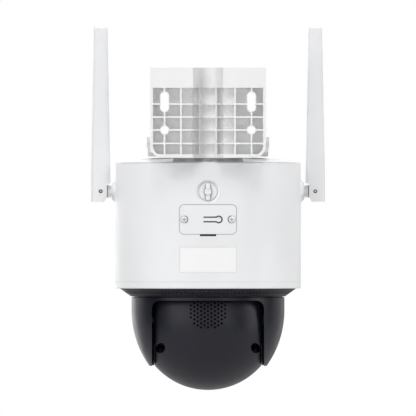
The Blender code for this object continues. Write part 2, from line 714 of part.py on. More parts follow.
def charge_socket():
    """The power inlet behind the cap: a barrel with a blind bore and a centre pin."""
    profile = [(0.0, -0.0010), (0.0009, -0.0010), (0.0009, -0.0105), (0.0030, -0.0105),
               (0.0030, 0.0), (0.0060, 0.0), (0.0060, -0.0130), (0.0, -0.0130)]
    socket = turned("charge_socket", profile, (0.0, -0.0155 - GAP, PORT_Z), "Y", False, 20)
    return dress(socket, "satin_black")


def main_board():
    """The main circuit board on the bay's inner side."""
    low = (-0.0405, BAY_FRONT_Y - GAP - BOARD_THICKNESS, -0.1110)
    high = (0.0405, BAY_FRONT_Y - GAP, -0.0755)
    return dress(box("main_board", low, high), "board")


def modem():
    """The shielded radio module on the board's inner side."""
    face = BAY_FRONT_Y - GAP - BOARD_THICKNESS
    can = box("radio_module", (-0.0160, face - GAP - 0.0028, -0.1040), (0.0160, face - GAP, -0.0800))
    return dress(can, "steel")


def chassis_ring():
    """The ring plate that carries the pan motor and the battery tray's feet."""
    profile = [(0.0760, -0.1235), (0.0760, -0.1255), (0.0480, -0.1255), (0.0480, -0.1235)]
    plate = turned("chassis_ring", profile, (0.0, DRUM_Y, 0.0))
    distance = (PAN_GEAR_TEETH + PAN_PINION_TEETH) * GEAR_MODULE / 2
    combine(plate, rod("cut_motor_shaft", 0.0040, (distance, DRUM_Y, -0.13), -0.12, "Z", 20, True))
    return dress(plate, "satin_black")


def battery_tray():
    """The table over the ball's dome that holds the cells, on four feet."""
    top = box("battery_tray", (-0.0500, -0.1370, -0.1083), (0.0500, -0.0860, -0.1063))
    for x in (-0.0480, 0.0480):
        for y in (-0.1330, -0.0900):
            foot = rod(f"join_foot_{x}_{y}", 0.0020, (x, y, -0.1232), -0.1070, "Z", 8, True)
            combine(top, foot, "UNION")
    for side in (-1, 1):
        low = (min(side * 0.0362, side * 0.0380), -0.1365, -0.1070)
        high = (max(side * 0.0362, side * 0.0380), -0.0865, -0.0900)
        combine(top, box(f"join_stop_{side}", low, high, True), "UNION")
    return dress(top, "satin_black")


def battery_cell(name, y):
    """One lithium cell lying across the tray."""
    radius = 0.0107
    profile = [(0.0, 0.0700), (0.0090, 0.0700), (radius, 0.0692), (radius, 0.0008),
               (0.0090, 0.0), (0.0, 0.0)]
    cell = turned(name, profile, (-0.0350, y, -0.1063 + GAP + radius), "X", False, 20)
    return dress(cell, "cell")


def pan_motor():
    """The pan drive's motor, upright on the chassis ring with its shaft pointing down."""
    distance = (PAN_GEAR_TEETH + PAN_PINION_TEETH) * GEAR_MODULE / 2
    profile = [(0.0, 0.0190), (0.0112, 0.0190), (0.0120, 0.0182), (0.0120, 0.0),
               (0.0015, 0.0), (0.0015, -0.0070), (0.0, -0.0070)]
    motor = turned("pan_motor", profile, (distance, DRUM_Y, -0.1235 + GAP), "Z", False, 20)
    return dress(motor, "steel")


def vent_ring():
    """The conical black ring under the drum, with a ledge for the pan bearing."""
    profile = [(0.0761, -0.1430), (0.0761, -0.1490), (RING_TOP_R, -0.1490), (RING_TOP_R, RING_TOP),
               (RING_FOOT_R, RING_FOOT), (RING_BORE_R, RING_FOOT), (RING_BORE_R, -0.1529),
               (0.0695, -0.1529), (0.0695, -0.1500), (0.0735, -0.1480), (0.0735, -0.1430)]
    ring = turned("vent_ring", profile, (0.0, DRUM_Y, 0.0), segments=BELL_SEGMENTS)
    return dress(ring, "satin_black")


def sensor_lens():
    """The motion sensor's domed lens on the drum's front."""
    profile = [(0.0, 0.0048), (0.0040, 0.0042), (0.0065, 0.0026), (0.0078, 0.0),
               (0.0078, -0.0030), (0.0100, -0.0030), (0.0100, -0.0042), (0.0, -0.0042)]
    lens = turned("sensor_lens", profile, (0, 0, 0), "Y", False, 20)
    turn = Matrix.Rotation(math.pi, 4, "Z")
    place = Matrix.Translation((0.0, DRUM_Y - DRUM_R + 0.0003, -0.1000))
    lens.matrix_world = place @ turn @ AXIS_TURNS["Y"]
    return dress(lens, "lens")


# ------------------------------------------------------------- the antennas
def antenna_knuckle(name, side):
    """The swivelling tongue that joins a blade to the drum."""
    start = BOSS_FACE_X + GAP
    outline = arc((ANTENNA_PIN_X, ANTENNA_Z), KNUCKLE_HALF, -90, 90, 8)
    outline += [(start, ANTENNA_Z + KNUCKLE_HALF), (start, ANTENNA_Z - KNUCKLE_HALF)]
    outline = [(side * x, z) for x, z in outline]
    half = KNUCKLE_DEPTH / 2
    tongue = prism(name, outline, "Y", DRUM_Y - half, DRUM_Y + half)
    shaft = rod(f"join_{name}_shaft", 0.0041, (side * 0.0700, DRUM_Y, ANTENNA_Z),
                side * (start - 0.0001), "X", 16, True)
    root_x = sorted((side * 0.0790, side * (start + 0.0015)))
    root = box(f"join_{name}_root", (root_x[0], DRUM_Y - half * 0.98, ANTENNA_Z - 0.0032),
               (root_x[1], DRUM_Y + half * 0.98, ANTENNA_Z + 0.0032), True)
    eye = rod(f"cut_{name}_eye", 0.0017 + GAP, (side * ANTENNA_PIN_X, DRUM_Y - 0.02, ANTENNA_Z),
              DRUM_Y + 0.02, "Y", 12, True)
    combine(tongue, root, "UNION")
    combine(tongue, shaft, "UNION")
    combine(tongue, eye)
    return dress(tongue, "white")


def antenna_clip(name, side):
    """The ring inside the drum that keeps a knuckle's shaft in its seat."""
    profile = [(0.0070, 0.0008), (0.0070, -0.0008), (0.0044, -0.0008), (0.0044, 0.0008)]
    clip = turned(name, profile, (side * 0.0745, DRUM_Y, ANTENNA_Z), "X", True, 16)
    return dress(clip, "steel")


def antenna_pin(name, side):
    """The small pin through a blade's fork and its knuckle."""
    half = ANTENNA_BASE_DEPTH / 2 - 0.0002
    pin = rod(name, 0.0017, (side * ANTENNA_PIN_X, DRUM_Y - half, ANTENNA_Z),
              DRUM_Y + half, "Y", 12)
    return dress(pin, "satin_black")


def antenna_blade(name, side):
    """A flat paddle that tapers upwards, forked at its foot round the knuckle."""
    base, tip = ANTENNA_BASE_HALF, ANTENNA_TIP_HALF
    taper = (ANTENNA_TOP - -0.0580)
    corner = 0.0022
    outline = [(tip - corner, ANTENNA_TOP), (tip, ANTENNA_TOP - corner), (base, ANTENNA_TOP - taper),
               (base, ANTENNA_BOTTOM + 0.0035), (base - 0.0035, ANTENNA_BOTTOM),
               (-0.0027, ANTENNA_BOTTOM), (ANTENNA_NOTCH_X - ANTENNA_PIN_X, -0.0724),
               (ANTENNA_NOTCH_X - ANTENNA_PIN_X, ANTENNA_NOTCH_Z),
               (-base, ANTENNA_NOTCH_Z + 0.0010), (-base, ANTENNA_TOP - taper),
               (-tip, ANTENNA_TOP - corner), (-tip + corner, ANTENNA_TOP)]
    outline = [(side * (ANTENNA_PIN_X + x), z) for x, z in outline]
    half = ANTENNA_BASE_DEPTH / 2
    blade = prism(name, outline, "Y", DRUM_Y - half, DRUM_Y + half)
    thin = ANTENNA_TIP_DEPTH / 2
    wedge = [(DRUM_Y - half, -0.09), (DRUM_Y + half, -0.09), (DRUM_Y + half, -0.0580),
             (DRUM_Y + thin, ANTENNA_TOP + 0.001), (DRUM_Y - thin, ANTENNA_TOP + 0.001),
             (DRUM_Y - half, -0.0580)]
    reach = sorted((side * 0.07, side * 0.11))
    combine(blade, prism(f"cut_{name}_taper", wedge, "X", *reach, True), "INTERSECT")
    ease(blade, 0.0009, 2, math.radians(60))
    slot_x = sorted((side * 0.0790, side * (ANTENNA_PIN_X + 0.0062)))
    slot = box(f"cut_{name}_slot", (slot_x[0], DRUM_Y - SLOT_DEPTH / 2, -0.09),
               (slot_x[1], DRUM_Y + SLOT_DEPTH / 2, ANTENNA_Z + KNUCKLE_HALF + 0.0006), True)
    eye = rod(f"cut_{name}_eye", 0.0017 + GAP, (side * ANTENNA_PIN_X, DRUM_Y - 0.02, ANTENNA_Z),
              DRUM_Y + 0.02, "Y", 12, True)
    combine(blade, slot)
    combine(blade, eye)
    return dress(blade, "white")


# ----------------------------------------------------- the yoke and its ball
def bell_curve(wall, start, end, steps):
    """The bell's elliptical side between two heights, set in by a wall thickness."""
    points = []
    for i in range(steps + 1):
        z = start + (end - start) * i / steps
        rise = min(1.0, max(0.0, (BELL_EQUATOR_Z - z) / BELL_SEMI_HEIGHT))
        points.append((BELL_R * math.sqrt(1 - rise * rise) - wall, z))
    return points


def dome_curve(radius, start, end, steps):
    """A sphere's side about the ball's centre, between two heights."""
    points = []
    for i in range(steps + 1):
        z = start + (end - start) * i / steps
        points.append((math.sqrt(radius * radius - (z - BALL_Z) ** 2), z))
    return points


def window_cutter(half_width, name):
    """The slab through the bell that leaves two arms, with round upper corners."""
    outline = rounded((-half_width, -0.26), (half_width, WINDOW_TOP), WINDOW_CORNER, 6)
    return prism(name, outline, "Y", DRUM_Y - 0.09, DRUM_Y + 0.09, True)


def pan_bell():
    """The rotating bell: a dome that clears the ball, a neck, and two hollow arms."""
    hub = 0.0060
    profile = [(hub, -0.1124)]
    profile += dome_curve(DOME_OUTER_R, -0.1126, PAN_GEAR_BOTTOM - GAP, 3)
    profile += [(0.0500, PAN_GEAR_BOTTOM - GAP), (0.0500, PAN_GEAR_BOTTOM - GAP - 0.0025)]
    profile += dome_curve(DOME_OUTER_R, PAN_GEAR_BOTTOM - GAP - 0.0040, -0.1470, 2)
    profile += [(0.0675, -0.1475), (0.0675, -0.1500), (BELL_NECK_R, -0.1500),
                (BELL_NECK_R, BELL_TOP), (BELL_R, BELL_TOP)]
    profile += bell_curve(0.0, BELL_EQUATOR_Z, BELL_FOOT, 7)
    profile += list(reversed(bell_curve(BELL_WALL, BELL_EQUATOR_Z, BELL_FOOT + 0.0004, 5)))
    profile += list(reversed(dome_curve(DOME_CLEAR_R, -0.1150, -0.1640, 5)))
    profile += [(hub, -0.1150)]
    bell = turned("pan_bell", profile, (0.0, DRUM_Y, 0.0), segments=BELL_SEGMENTS)
    combine(bell, window_cutter(COVER_OUTER_X + GAP, "cut_window"))
    return dress(bell, "black")


def arm_cover(name, side):
    """The flat cover that closes one arm on the ball's side, flush with the bell."""
    points = [(0.0, WINDOW_TOP - 0.0060)] + bell_curve(0.0, WINDOW_TOP - 0.0060, BELL_FOOT, 8)
    points.append((0.0, BELL_FOOT))
    blank = turned(f"trim_{name}", points, (0.0, DRUM_Y, 0.0), "Z", False, BELL_SEGMENTS, True)
    low, high = sorted((side * COVER_INNER_X, side * COVER_OUTER_X))
    cover = box(name, (low, DRUM_Y - 0.070, -0.230), (high, DRUM_Y + 0.070, WINDOW_TOP + 0.001))
    combine(cover, blank, "INTERSECT")
    combine(cover, rod(f"cut_{name}", TRUNNION_R + GAP, (side * 0.04, DRUM_Y, BALL_Z),
                       side * 0.06, "X", 20, True))
    return dress(cover, "black")


def trunnion(name, side):
    """The hollow axle fixed in an arm that the ball turns on."""
    inner = -0.0060 if side > 0 else -0.0075
    profile = [(0.0085, 0.0035), (0.0085, GAP), (TRUNNION_R, GAP), (TRUNNION_R, inner),
               (0.0030, inner), (0.0030, 0.0035)]
    axle = turned(name, profile, (0, 0, 0), "X", True, 20)
    turn = Matrix.Rotation(math.pi, 4, "Z") if side < 0 else Matrix.Identity(4)
    place = Matrix.Translation((side * COVER_OUTER_X, DRUM_Y, BALL_Z))
    axle.matrix_world = place @ turn @ AXIS_TURNS["X"]
    return dress(axle, "nylon")


def tilt_gear():
    """The fixed gear on the left axle's inner end, inside the ball."""
    facing = 90.0 + math.degrees(BALL_TILT)
    outline = gear_outline((DRUM_Y, BALL_Z), TILT_GEAR_TEETH, GEAR_MODULE, tooth_at=facing)
    gear = prism("tilt_gear", outline, "X", 0.0373, 0.0410)
    combine(gear, rod("cut_tilt_gear", 0.0030, (0.02, DRUM_Y, BALL_Z), 0.06, "X", 16, True))
    neck = rod("join_tilt_neck", 0.0055, (0.0405, DRUM_Y, BALL_Z), 0.0425, "X", 16, True)
    combine(neck, rod("cut_tilt_neck", 0.0030, (0.02, DRUM_Y, BALL_Z), 0.06, "X", 16, True))
    combine(gear, neck, "UNION")
    return dress(gear, "nylon")


def pan_gear():
    """The large gear on the bell's shelf."""
    outline = gear_outline((0.0, DRUM_Y), PAN_GEAR_TEETH, GEAR_MODULE, tooth_at=0.0)
    gear = prism("pan_gear", outline, "Z", PAN_GEAR_BOTTOM, PAN_GEAR_TOP)
    bore = rod("cut_pan_gear", PAN_GEAR_BORE_R, (0, DRUM_Y, -0.15), -0.10, "Z", 32, True)
    combine(gear, bore)
    return dress(gear, "nylon")


def pan_pinion():
    """The motor's small gear, in mesh with the large one."""
    distance = (PAN_GEAR_TEETH + PAN_PINION_TEETH) * GEAR_MODULE / 2
    outline = gear_outline((distance, DRUM_Y), PAN_PINION_TEETH, GEAR_MODULE, gap_at=180.0)
    pinion = prism("pan_pinion", outline, "Z", PAN_GEAR_BOTTOM, PAN_GEAR_TOP)
    bore = rod("cut_pan_pinion", 0.0015 + GAP, (distance, DRUM_Y, -0.15), -0.10, "Z", 16, True)
    combine(pinion, bore)
    return dress(pinion, "nylon")


def ball_solid(name, radius, flat):
    """A sphere about the origin with two flats, as a cutter or trimmer."""
    solid = ball(name, radius, (0.0, 0.0, 0.0), cutter=True)
    limits = box(f"{name}_flats", (-flat, -0.07, -0.07), (flat, 0.07, 0.07), True)
    combine(solid, limits, "INTERSECT")
    return solid, [solid, limits]


def ball_rear_shell():
    """The ball's rear shell with its axle holes and two screw wells."""
    shell = ball("ball_rear_shell", BALL_R, (0.0, 0.0, 0.0))
    low = (-BALL_FLAT_X, BALL_SPLIT_Y, -0.07)
    tools = [box("trim_rear_half", low, (BALL_FLAT_X, 0.07, 0.07), True)]
    combine(shell, tools[0], "INTERSECT")
    hollow, parts = ball_solid("cut_rear_hollow", BALL_R - BALL_WALL, BALL_FLAT_X - BALL_WALL)
    tools += parts
    posts = []
    for side in (-1, 1):
        post = rod(f"join_well_{side}", 0.0048, (side * BALL_SCREW_X, BALL_SPLIT_Y, BALL_SCREW_Z),
                   0.050, "Y", 16, True)
        posts.append(post)
        combine(hollow, post)
    combine(shell, hollow)
    for side in (-1, 1):
        well = rod(f"cut_well_{side}", 0.0036, (side * BALL_SCREW_X, 0.0200, BALL_SCREW_Z),
                   0.070, "Y", 16, True)
        hole = rod(f"cut_well_hole_{side}", 0.0018, (side * BALL_SCREW_X, -0.02, BALL_SCREW_Z),
                   0.030, "Y", 12, True)
        combine(shell, well)
        combine(shell, hole)
        tools += [well, hole]
    axle = rod("cut_axle", TRUNNION_R + GAP, (-0.06, 0.0, 0.0), 0.06, "X", 20, True)
    combine(shell, axle)
    return dress(shell, "black"), tools + posts + [axle]


def ball_front_shell():
    """The ball's front shell, open for the glass face."""
    shell = ball("ball_front_shell", BALL_R, (0.0, 0.0, 0.0))
    front = box("trim_front_half", (-BALL_FLAT_X, FACE_Y, -0.07),
                (BALL_FLAT_X, BALL_SPLIT_Y - GAP, 0.07), True)
    combine(shell, front, "INTERSECT")
    hollow, tools = ball_solid("cut_front_hollow", BALL_R - BALL_WALL, BALL_FLAT_X - BALL_WALL)
    wall = box("trim_face_wall", (-0.07, FACE_Y + 0.0034, -0.07), (0.07, 0.07, 0.07), True)
    combine(hollow, wall, "INTERSECT")
    combine(shell, hollow)
    seat = rod("cut_face_seat", FACE_R - 0.0015, (0.0, FACE_Y + 0.0022, 0.0), -0.07, "Y", 40, True)
    opening = rod("cut_face_opening", FACE_R - 0.0040, (0.0, -0.07, 0.0), 0.0, "Y", 40, True)
    combine(shell, seat)
    combine(shell, opening)
    return dress(shell, "black"), [front, wall, seat, opening] + tools


def front_glass():
    """The dark glass disc over the lens and lamps."""
    radius = FACE_R - 0.0015 - GAP
    profile = [(0.0, 0.0019), (radius - 0.0005, 0.0019), (radius, 0.0014), (radius, 0.0), (0.0, 0.0)]
    disc = turned("front_glass", profile, (0, 0, 0), "Y", False, 40)
    turn = Matrix.Rotation(math.pi, 4, "Z")
    disc.matrix_world = Matrix.Translation((0.0, FACE_Y + 0.0019, 0.0)) @ turn @ AXIS_TURNS["Y"]
    return dress(disc, "glass")


def lens_barrel():
    """The stepped lens barrel behind the glass."""
    profile = [(0.0, 0.0255), (0.0060, 0.0265), (0.0080, 0.0280), (0.0090, 0.0280), (0.0090, 0.0180),
               (0.0070, 0.0180), (0.0070, 0.0040), (0.0110, 0.0040), (0.0110, 0.0), (0.0, 0.0)]
    barrel = turned("lens_barrel", profile, (0, 0, 0), "Y", False, 20)
    turn = Matrix.Rotation(math.pi, 4, "Z")
    barrel.matrix_world = Matrix.Translation((0.0, FACE_Y + 0.0315, 0.0)) @ turn @ AXIS_TURNS["Y"]
    return dress(barrel, "satin_black")


def lamp_board():
    """The ring board behind the glass that holds the lamps."""
    profile = [(0.0235, 0.0014), (0.0235, 0.0), (0.0105, 0.0), (0.0105, 0.0014)]
    board = turned("lamp_board", profile, (0.0, FACE_Y + 0.0055, 0.0), "Y", True, 24)
    return dress(board, "board")


def image_board():
    """The image sensor's board behind the lens."""
    board = box("image_board", (-0.0190, FACE_Y + 0.0318, -0.0190), (0.0190, FACE_Y + 0.0334, 0.0190))
    return dress(board, "board")


def speaker():
    """The round speaker behind the rear shell's grille."""
    profile = [(0.0, 0.0520), (0.0170, 0.0520), (0.0180, 0.0510), (0.0180, 0.0490),
               (0.0130, 0.0440), (0.0130, 0.0400), (0.0, 0.0400)]
    return dress(turned("speaker", profile, (0, 0, 0), "Y", False, 20), "satin_black")


def tilt_motor():
    """The tilt drive's motor inside the ball, with its shaft towards the left axle."""
    distance = (TILT_GEAR_TEETH + TILT_PINION_TEETH) * GEAR_MODULE / 2
    profile = [(0.0, 0.0070), (0.0010, 0.0070), (0.0010, 0.0), (0.0100, 0.0), (0.0100, -0.0140),
               (0.0, -0.0140)]
    motor = turned("tilt_motor", profile, (0.0350, 0.0, distance), "X", False, 20)
    return dress(motor, "steel")


def tilt_pinion():
    """The tilt motor's small gear, which rolls round the fixed gear."""
    distance = (TILT_GEAR_TEETH + TILT_PINION_TEETH) * GEAR_MODULE / 2
    outline = gear_outline((0.0, distance), TILT_PINION_TEETH, GEAR_MODULE, gap_at=-90.0)
    pinion = prism("tilt_pinion", outline, "X", 0.0373, 0.0410)
    bore = rod("cut_tilt_pinion", 0.0013, (0.03, 0.0, distance), 0.05, "X", 16, True)
    combine(pinion, bore)
    return dress(pinion, "nylon"), [bore]


# ----------------------------------------------------------------- assembly
def joint_empty(name, place, parent=None, turn=0.0):
    """An empty on a joint's axis for a moving body's pieces to hang from."""
    empty = bpy.data.objects.new(name, None)
    empty.empty_display_size = 0.01
    CAMERA_PIECES.objects.link(empty)
    empty.matrix_world = Matrix.Translation(place) @ Matrix.Rotation(turn, 4, "X")
    if parent:
        hang(parent, [empty])
    return empty


def hang(empty, pieces):
    """Parent pieces that are modelled in place."""
    bpy.context.view_layer.update()
    for piece in pieces:
        piece.parent = empty
        piece.matrix_parent_inverse = empty.matrix_world.inverted()


def hang_local(empty, pieces):
    """Parent pieces that are modelled about the empty's own origin."""
    for piece in pieces:
        piece.parent = empty


def build_antenna(drum, word, side):
    """One antenna: its knuckle swivels on the drum and its blade folds on the knuckle."""
    swivel = joint_empty(f"swivel_{word}", (side * BOSS_FACE_X, DRUM_Y, ANTENNA_Z), drum)
    fold = joint_empty(f"antenna_fold_{word}", (side * ANTENNA_PIN_X, DRUM_Y, ANTENNA_Z), swivel)
    hang(drum, [antenna_clip(f"antenna_clip_{word}", side)])
    knuckle = antenna_knuckle(f"antenna_knuckle_{word}", side)
    hang(swivel, [knuckle, antenna_pin(f"antenna_pin_{word}", side)])
    hang(fold, [antenna_blade(f"antenna_blade_{word}", side)])


def build_drum(drum):
    """Everything that is fixed to the drum."""
    pieces = [cradle(), top_lid(), solar_panel(), drum_shell(), service_bay(), main_board(), modem(),
              charge_socket(), chassis_ring(), battery_tray(), pan_motor(), vent_ring(), sensor_lens()]
    pieces += reader_and_cards()
    for word, side in (("left", 1), ("right", -1)):
        place = (side * CRADLE_SCREW_X, HINGE_Y, CRADLE_BASE_TOP + GAP)
        screw = pan_head_screw(f"cradle_screw_{word}", place, "Z", 0.0015, 0.0030, 0.0020, 0.0090)
        pieces.append(screw)
    pieces.append(battery_cell("battery_cell_front", -0.1240))
    pieces.append(battery_cell("battery_cell_rear", -0.1000))
    pieces.append(ring("lid_seal", 0.0743, 0.0761, DRUM_TOP - 0.0055, DRUM_TOP - 0.0030, "rubber"))
    pieces.append(ring("pan_bearing", RING_BORE_R + 0.0004, 0.0692, -0.1526, -0.1503, "nylon"))
    label = rounded((-LABEL_HALF_WIDTH + GAP, LABEL_BOTTOM + GAP),
                    (LABEL_HALF_WIDTH - GAP, LABEL_TOP - GAP), 0.0006, 2)
    pieces.append(curved_plate("rating_label", label, DRUM_R - 0.0001, LABEL_DEPTH - 0.00025, "label"))
    hang(drum, pieces)


def build_door(drum):
    """The service door with its seal and screws, the spring key and the button behind it."""
    door = joint_empty("door_slide", (0.0, DRUM_Y + DRUM_R, DOOR_Z), drum)
    pieces = [service_door(), door_seal()]
    for word, side in (("left", 1), ("right", -1)):
        place = (side * DOOR_SCREW_X, -0.0117 + GAP, DOOR_Z)
        pieces.append(pan_head_screw(f"door_screw_{word}", place, "Y", 0.0013, 0.0030, 0.0011, 0.0070))
    hang(door, pieces)
    key_axis = joint_empty("key_flex", (KEY_ROOT_X, DRUM_Y + DRUM_R - 0.001, DOOR_Z), door)
    hang(key_axis, [curved_plate("reset_key", key_outline(0.0), DRUM_R, DOOR_THICKNESS, "white")])
    button_axis = joint_empty("button_rock", (KEY_ROOT_X, DRUM_Y + DRUM_R - 0.001, DOOR_Z), drum)
    button = rod("reset_button", 0.0016, (KEY_DISC_X, -0.0210, DOOR_Z), -0.0114, "Y", 12)
    hang(button_axis, [dress(button, "satin_black")])


def build_ball(pan):
    """The tilting ball and what it holds."""
    tilt = joint_empty("ball_tilt", (0.0, DRUM_Y, BALL_Z), pan, BALL_TILT)
    rear, rear_tools = ball_rear_shell()
    front, front_tools = ball_front_shell()
    pieces = [rear, front, front_glass(), lens_barrel(), lamp_board(), image_board(), speaker(),
              tilt_motor()]
    for word, side in (("left", 1), ("right", -1)):
        place = (side * BALL_SCREW_X, 0.0200 + GAP, BALL_SCREW_Z)
        pieces.append(pan_head_screw(f"ball_screw_{word}", place, "Y", 0.0015, 0.0030, 0.0022, 0.0260))
    pinion, pinion_tools = tilt_pinion()
    hang_local(tilt, pieces + rear_tools + front_tools + pinion_tools + [pinion])


def build_pan(drum):
    """The turning bell, its covers, axles and gears."""
    pan = joint_empty("pan", (0.0, DRUM_Y, BELL_TOP), drum)
    pieces = [pan_bell(), pan_gear(), tilt_gear()]
    for word, side in (("left", 1), ("right", -1)):
        pieces.append(arm_cover(f"arm_cover_{word}", side))
        pieces.append(trunnion(f"trunnion_{word}", side))
    hang(pan, pieces)
    distance = (PAN_GEAR_TEETH + PAN_PINION_TEETH) * GEAR_MODULE / 2
    spin = joint_empty("pan_pinion_spin", (distance, DRUM_Y, PAN_GEAR_TOP), drum)
    hang(spin, [pan_pinion()])
    build_ball(pan)


def main():
    """Clear the scene and build the camera."""
    global CAMERA_PIECES, CUTTERS
    for obj in list(bpy.data.objects):
        bpy.data.objects.remove(obj, do_unlink=True)
    CAMERA_PIECES = bpy.data.collections.new(COLLECTION_NAME)
    CUTTERS = bpy.data.collections.new(f"{COLLECTION_NAME} cutters")
    bpy.context.scene.collection.children.link(CAMERA_PIECES)
    bpy.context.scene.collection.children.link(CUTTERS)
    wall_bracket()
    hinge_pin("hinge_pin_left", 1)
    hinge_pin("hinge_pin_right", -1)
    drum = joint_empty("fold_hinge", (0.0, HINGE_Y, HINGE_Z))
    build_drum(drum)
    build_door(drum)
    cap_axis = joint_empty("cap_turn", (0.0, PORT_FLOOR_Y, PORT_Z), drum)
    hang(cap_axis, [port_cap()])
    for word, side in (("left", 1), ("right", -1)):
        build_antenna(drum, word, side)
    build_pan(drum)
    bpy.context.view_layer.update()


main()
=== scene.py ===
"""Looks of the pan-and-tilt security camera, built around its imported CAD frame.

Lengths in this file are millimetres until a mesh is made.  The lens side faces
-Y, the wall is at +Y and +Z is up.
"""
import json
import math

import bmesh
import bpy
from mathutils import Matrix, Vector


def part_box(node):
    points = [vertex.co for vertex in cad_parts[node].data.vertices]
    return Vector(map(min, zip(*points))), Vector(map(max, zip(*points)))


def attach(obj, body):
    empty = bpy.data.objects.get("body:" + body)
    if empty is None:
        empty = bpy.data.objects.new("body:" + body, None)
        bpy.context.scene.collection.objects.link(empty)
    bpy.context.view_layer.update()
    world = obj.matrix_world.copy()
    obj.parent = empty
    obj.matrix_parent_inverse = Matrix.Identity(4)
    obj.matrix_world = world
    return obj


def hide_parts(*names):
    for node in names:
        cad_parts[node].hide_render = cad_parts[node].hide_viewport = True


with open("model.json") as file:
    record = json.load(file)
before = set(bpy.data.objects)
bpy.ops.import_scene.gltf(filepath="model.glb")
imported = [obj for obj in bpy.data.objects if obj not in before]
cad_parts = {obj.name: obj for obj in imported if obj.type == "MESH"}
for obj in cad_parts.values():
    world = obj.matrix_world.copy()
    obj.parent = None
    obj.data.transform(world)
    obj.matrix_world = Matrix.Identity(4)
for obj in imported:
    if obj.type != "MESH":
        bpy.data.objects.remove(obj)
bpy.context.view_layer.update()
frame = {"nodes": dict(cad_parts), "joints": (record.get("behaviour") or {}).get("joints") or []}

NODES = frame["nodes"]
SCENE = bpy.context.scene
TO_METRES = 0.001
AXES = "XYZ"


def span(node):
    """A CAD node's lowest and highest corners in millimetres."""
    low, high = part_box(node)
    return low / TO_METRES, high / TO_METRES


# ------------------------------------------------------------ frame measures
LID_LOW, LID_HIGH = span("top_lid")
DRUM_LOW, DRUM_HIGH = span("drum_shell")
PLATE_LOW, PLATE_HIGH = span("wall_bracket")
RING_LOW, RING_HIGH = span("vent_ring")
BELL_FOOT = span("pan_bell")[0].z
DRUM_R = (LID_HIGH.x - LID_LOW.x) / 2
DRUM_Y = (LID_HIGH.y + LID_LOW.y) / 2
DRUM_TOP = DRUM_HIGH.z
DRUM_FOOT = DRUM_LOW.z
WALL = 2.5
JOINT_AT = {joint["name"]: Vector(joint.get("pos_m") or (0, 0, 0)) / TO_METRES
            for joint in frame["joints"]}
BALL_AT = JOINT_AT["tilt"]
BALL_TILT = math.radians(9.0)
BALL_MATRIX = Matrix.Translation(BALL_AT) @ Matrix.Rotation(BALL_TILT, 4, "X")
BALL_R = 59.8
BALL_FLAT = 45.4
HINGE_AT = JOINT_AT["bracket_fold"]
PORT_AT = JOINT_AT["cap_turn"]


# ------------------------------------------------------------- mesh builders
def make(name, bm, smooth=35.0):
    """Turn a bmesh in millimetres into a smooth-shaded object in metres."""
    bmesh.ops.recalc_face_normals(bm, faces=bm.faces)
    bmesh.ops.scale(bm, verts=bm.verts, vec=(TO_METRES,) * 3)
    mesh = bpy.data.meshes.new(name)
    bm.to_mesh(mesh)
    bm.free()
    mesh.shade_smooth()
    mesh.set_sharp_from_angle(angle=math.radians(smooth))
    obj = bpy.data.objects.new(name, mesh)
    SCENE.collection.objects.link(obj)
    return obj


def bake(obj, smooth=35.0):
    """Apply the object's modifiers to its mesh."""
    graph = bpy.context.evaluated_depsgraph_get()
    mesh = bpy.data.meshes.new_from_object(obj.evaluated_get(graph))
    old = obj.data
    obj.modifiers.clear()
    obj.data = mesh
    bpy.data.meshes.remove(old)
    mesh.shade_smooth()
    mesh.set_sharp_from_angle(angle=math.radians(smooth))
    return obj


def work(obj, tools, operation="DIFFERENCE"):
    """Cut, join or intersect an object with tools, which are used up."""
    for tool in tools:
        modifier = obj.modifiers.new(tool.name, "BOOLEAN")
        modifier.operation = operation
        modifier.solver = "EXACT"
        modifier.object = tool
        tool.hide_render = True
    bake(obj)
    for tool in tools:
        bpy.data.objects.remove(tool, do_unlink=True)
    return obj


def ease(obj, width, segments=2, angle=32.0):
    """Round the sharp edges of a piece and keep its flat faces flat."""
    bevel = obj.modifiers.new("ease", "BEVEL")
    bevel.width = width * TO_METRES
    bevel.segments = segments
    bevel.limit_method = "ANGLE"
    bevel.angle_limit = math.radians(angle)
    bevel.miter_outer = "MITER_ARC"
    bake(obj, 50.0)
    weighted = obj.modifiers.new("weighted", "WEIGHTED_NORMAL")
    weighted.keep_sharp = True
    weighted.weight = 60
    return obj


def path(corners, closed=True, steps=4):
    """A path through (u, v) or (u, v, radius) corners, rounded where a radius is given."""
    points = []
    count = len(corners)
    for i, corner in enumerate(corners):
        here = Vector(corner[:2])
        radius = corner[2] if len(corner) > 2 else 0.0
        if radius <= 0 or (not closed and i in (0, count - 1)):
            points.append(tuple(here))
            continue
        back = Vector(corners[i - 1][:2]) - here
        ahead = Vector(corners[(i + 1) % count][:2]) - here
        half = back.angle(ahead) / 2
        reach = min(radius / math.tan(half), 0.49 * min(back.length, ahead.length))
        radius = reach * math.tan(half)
        between = (back.normalized() + ahead.normalized()).normalized()
        middle = here + between * (radius / math.sin(half))
        first = here + back.normalized() * reach - middle
        last = here + ahead.normalized() * reach - middle
        start = math.atan2(first.y, first.x)
        turn = (math.atan2(last.y, last.x) - start + math.pi) % (2 * math.pi) - math.pi
        for k in range(steps + 1):
            angle = start + turn * k / steps
            points.append((middle.x + radius * math.cos(angle), middle.y + radius * math.sin(angle)))
    return points


def arc(centre, radius, start, end, steps):
    """Points along an arc between two angles in degrees, both ends included."""
    points = []
    for i in range(steps + 1):
        angle = math.radians(start + (end - start) * i / steps)
        points.append((centre[0] + radius * math.cos(angle), centre[1] + radius * math.sin(angle)))
    return points


def quarter(radius, rise, steps):
    """Points of a quarter ellipse, from the top of its axis out to its rim."""
    angles = [math.pi / 2 * i / steps for i in range(steps + 1)]
    return [(radius * math.sin(angle), rise * math.cos(angle)) for angle in angles]


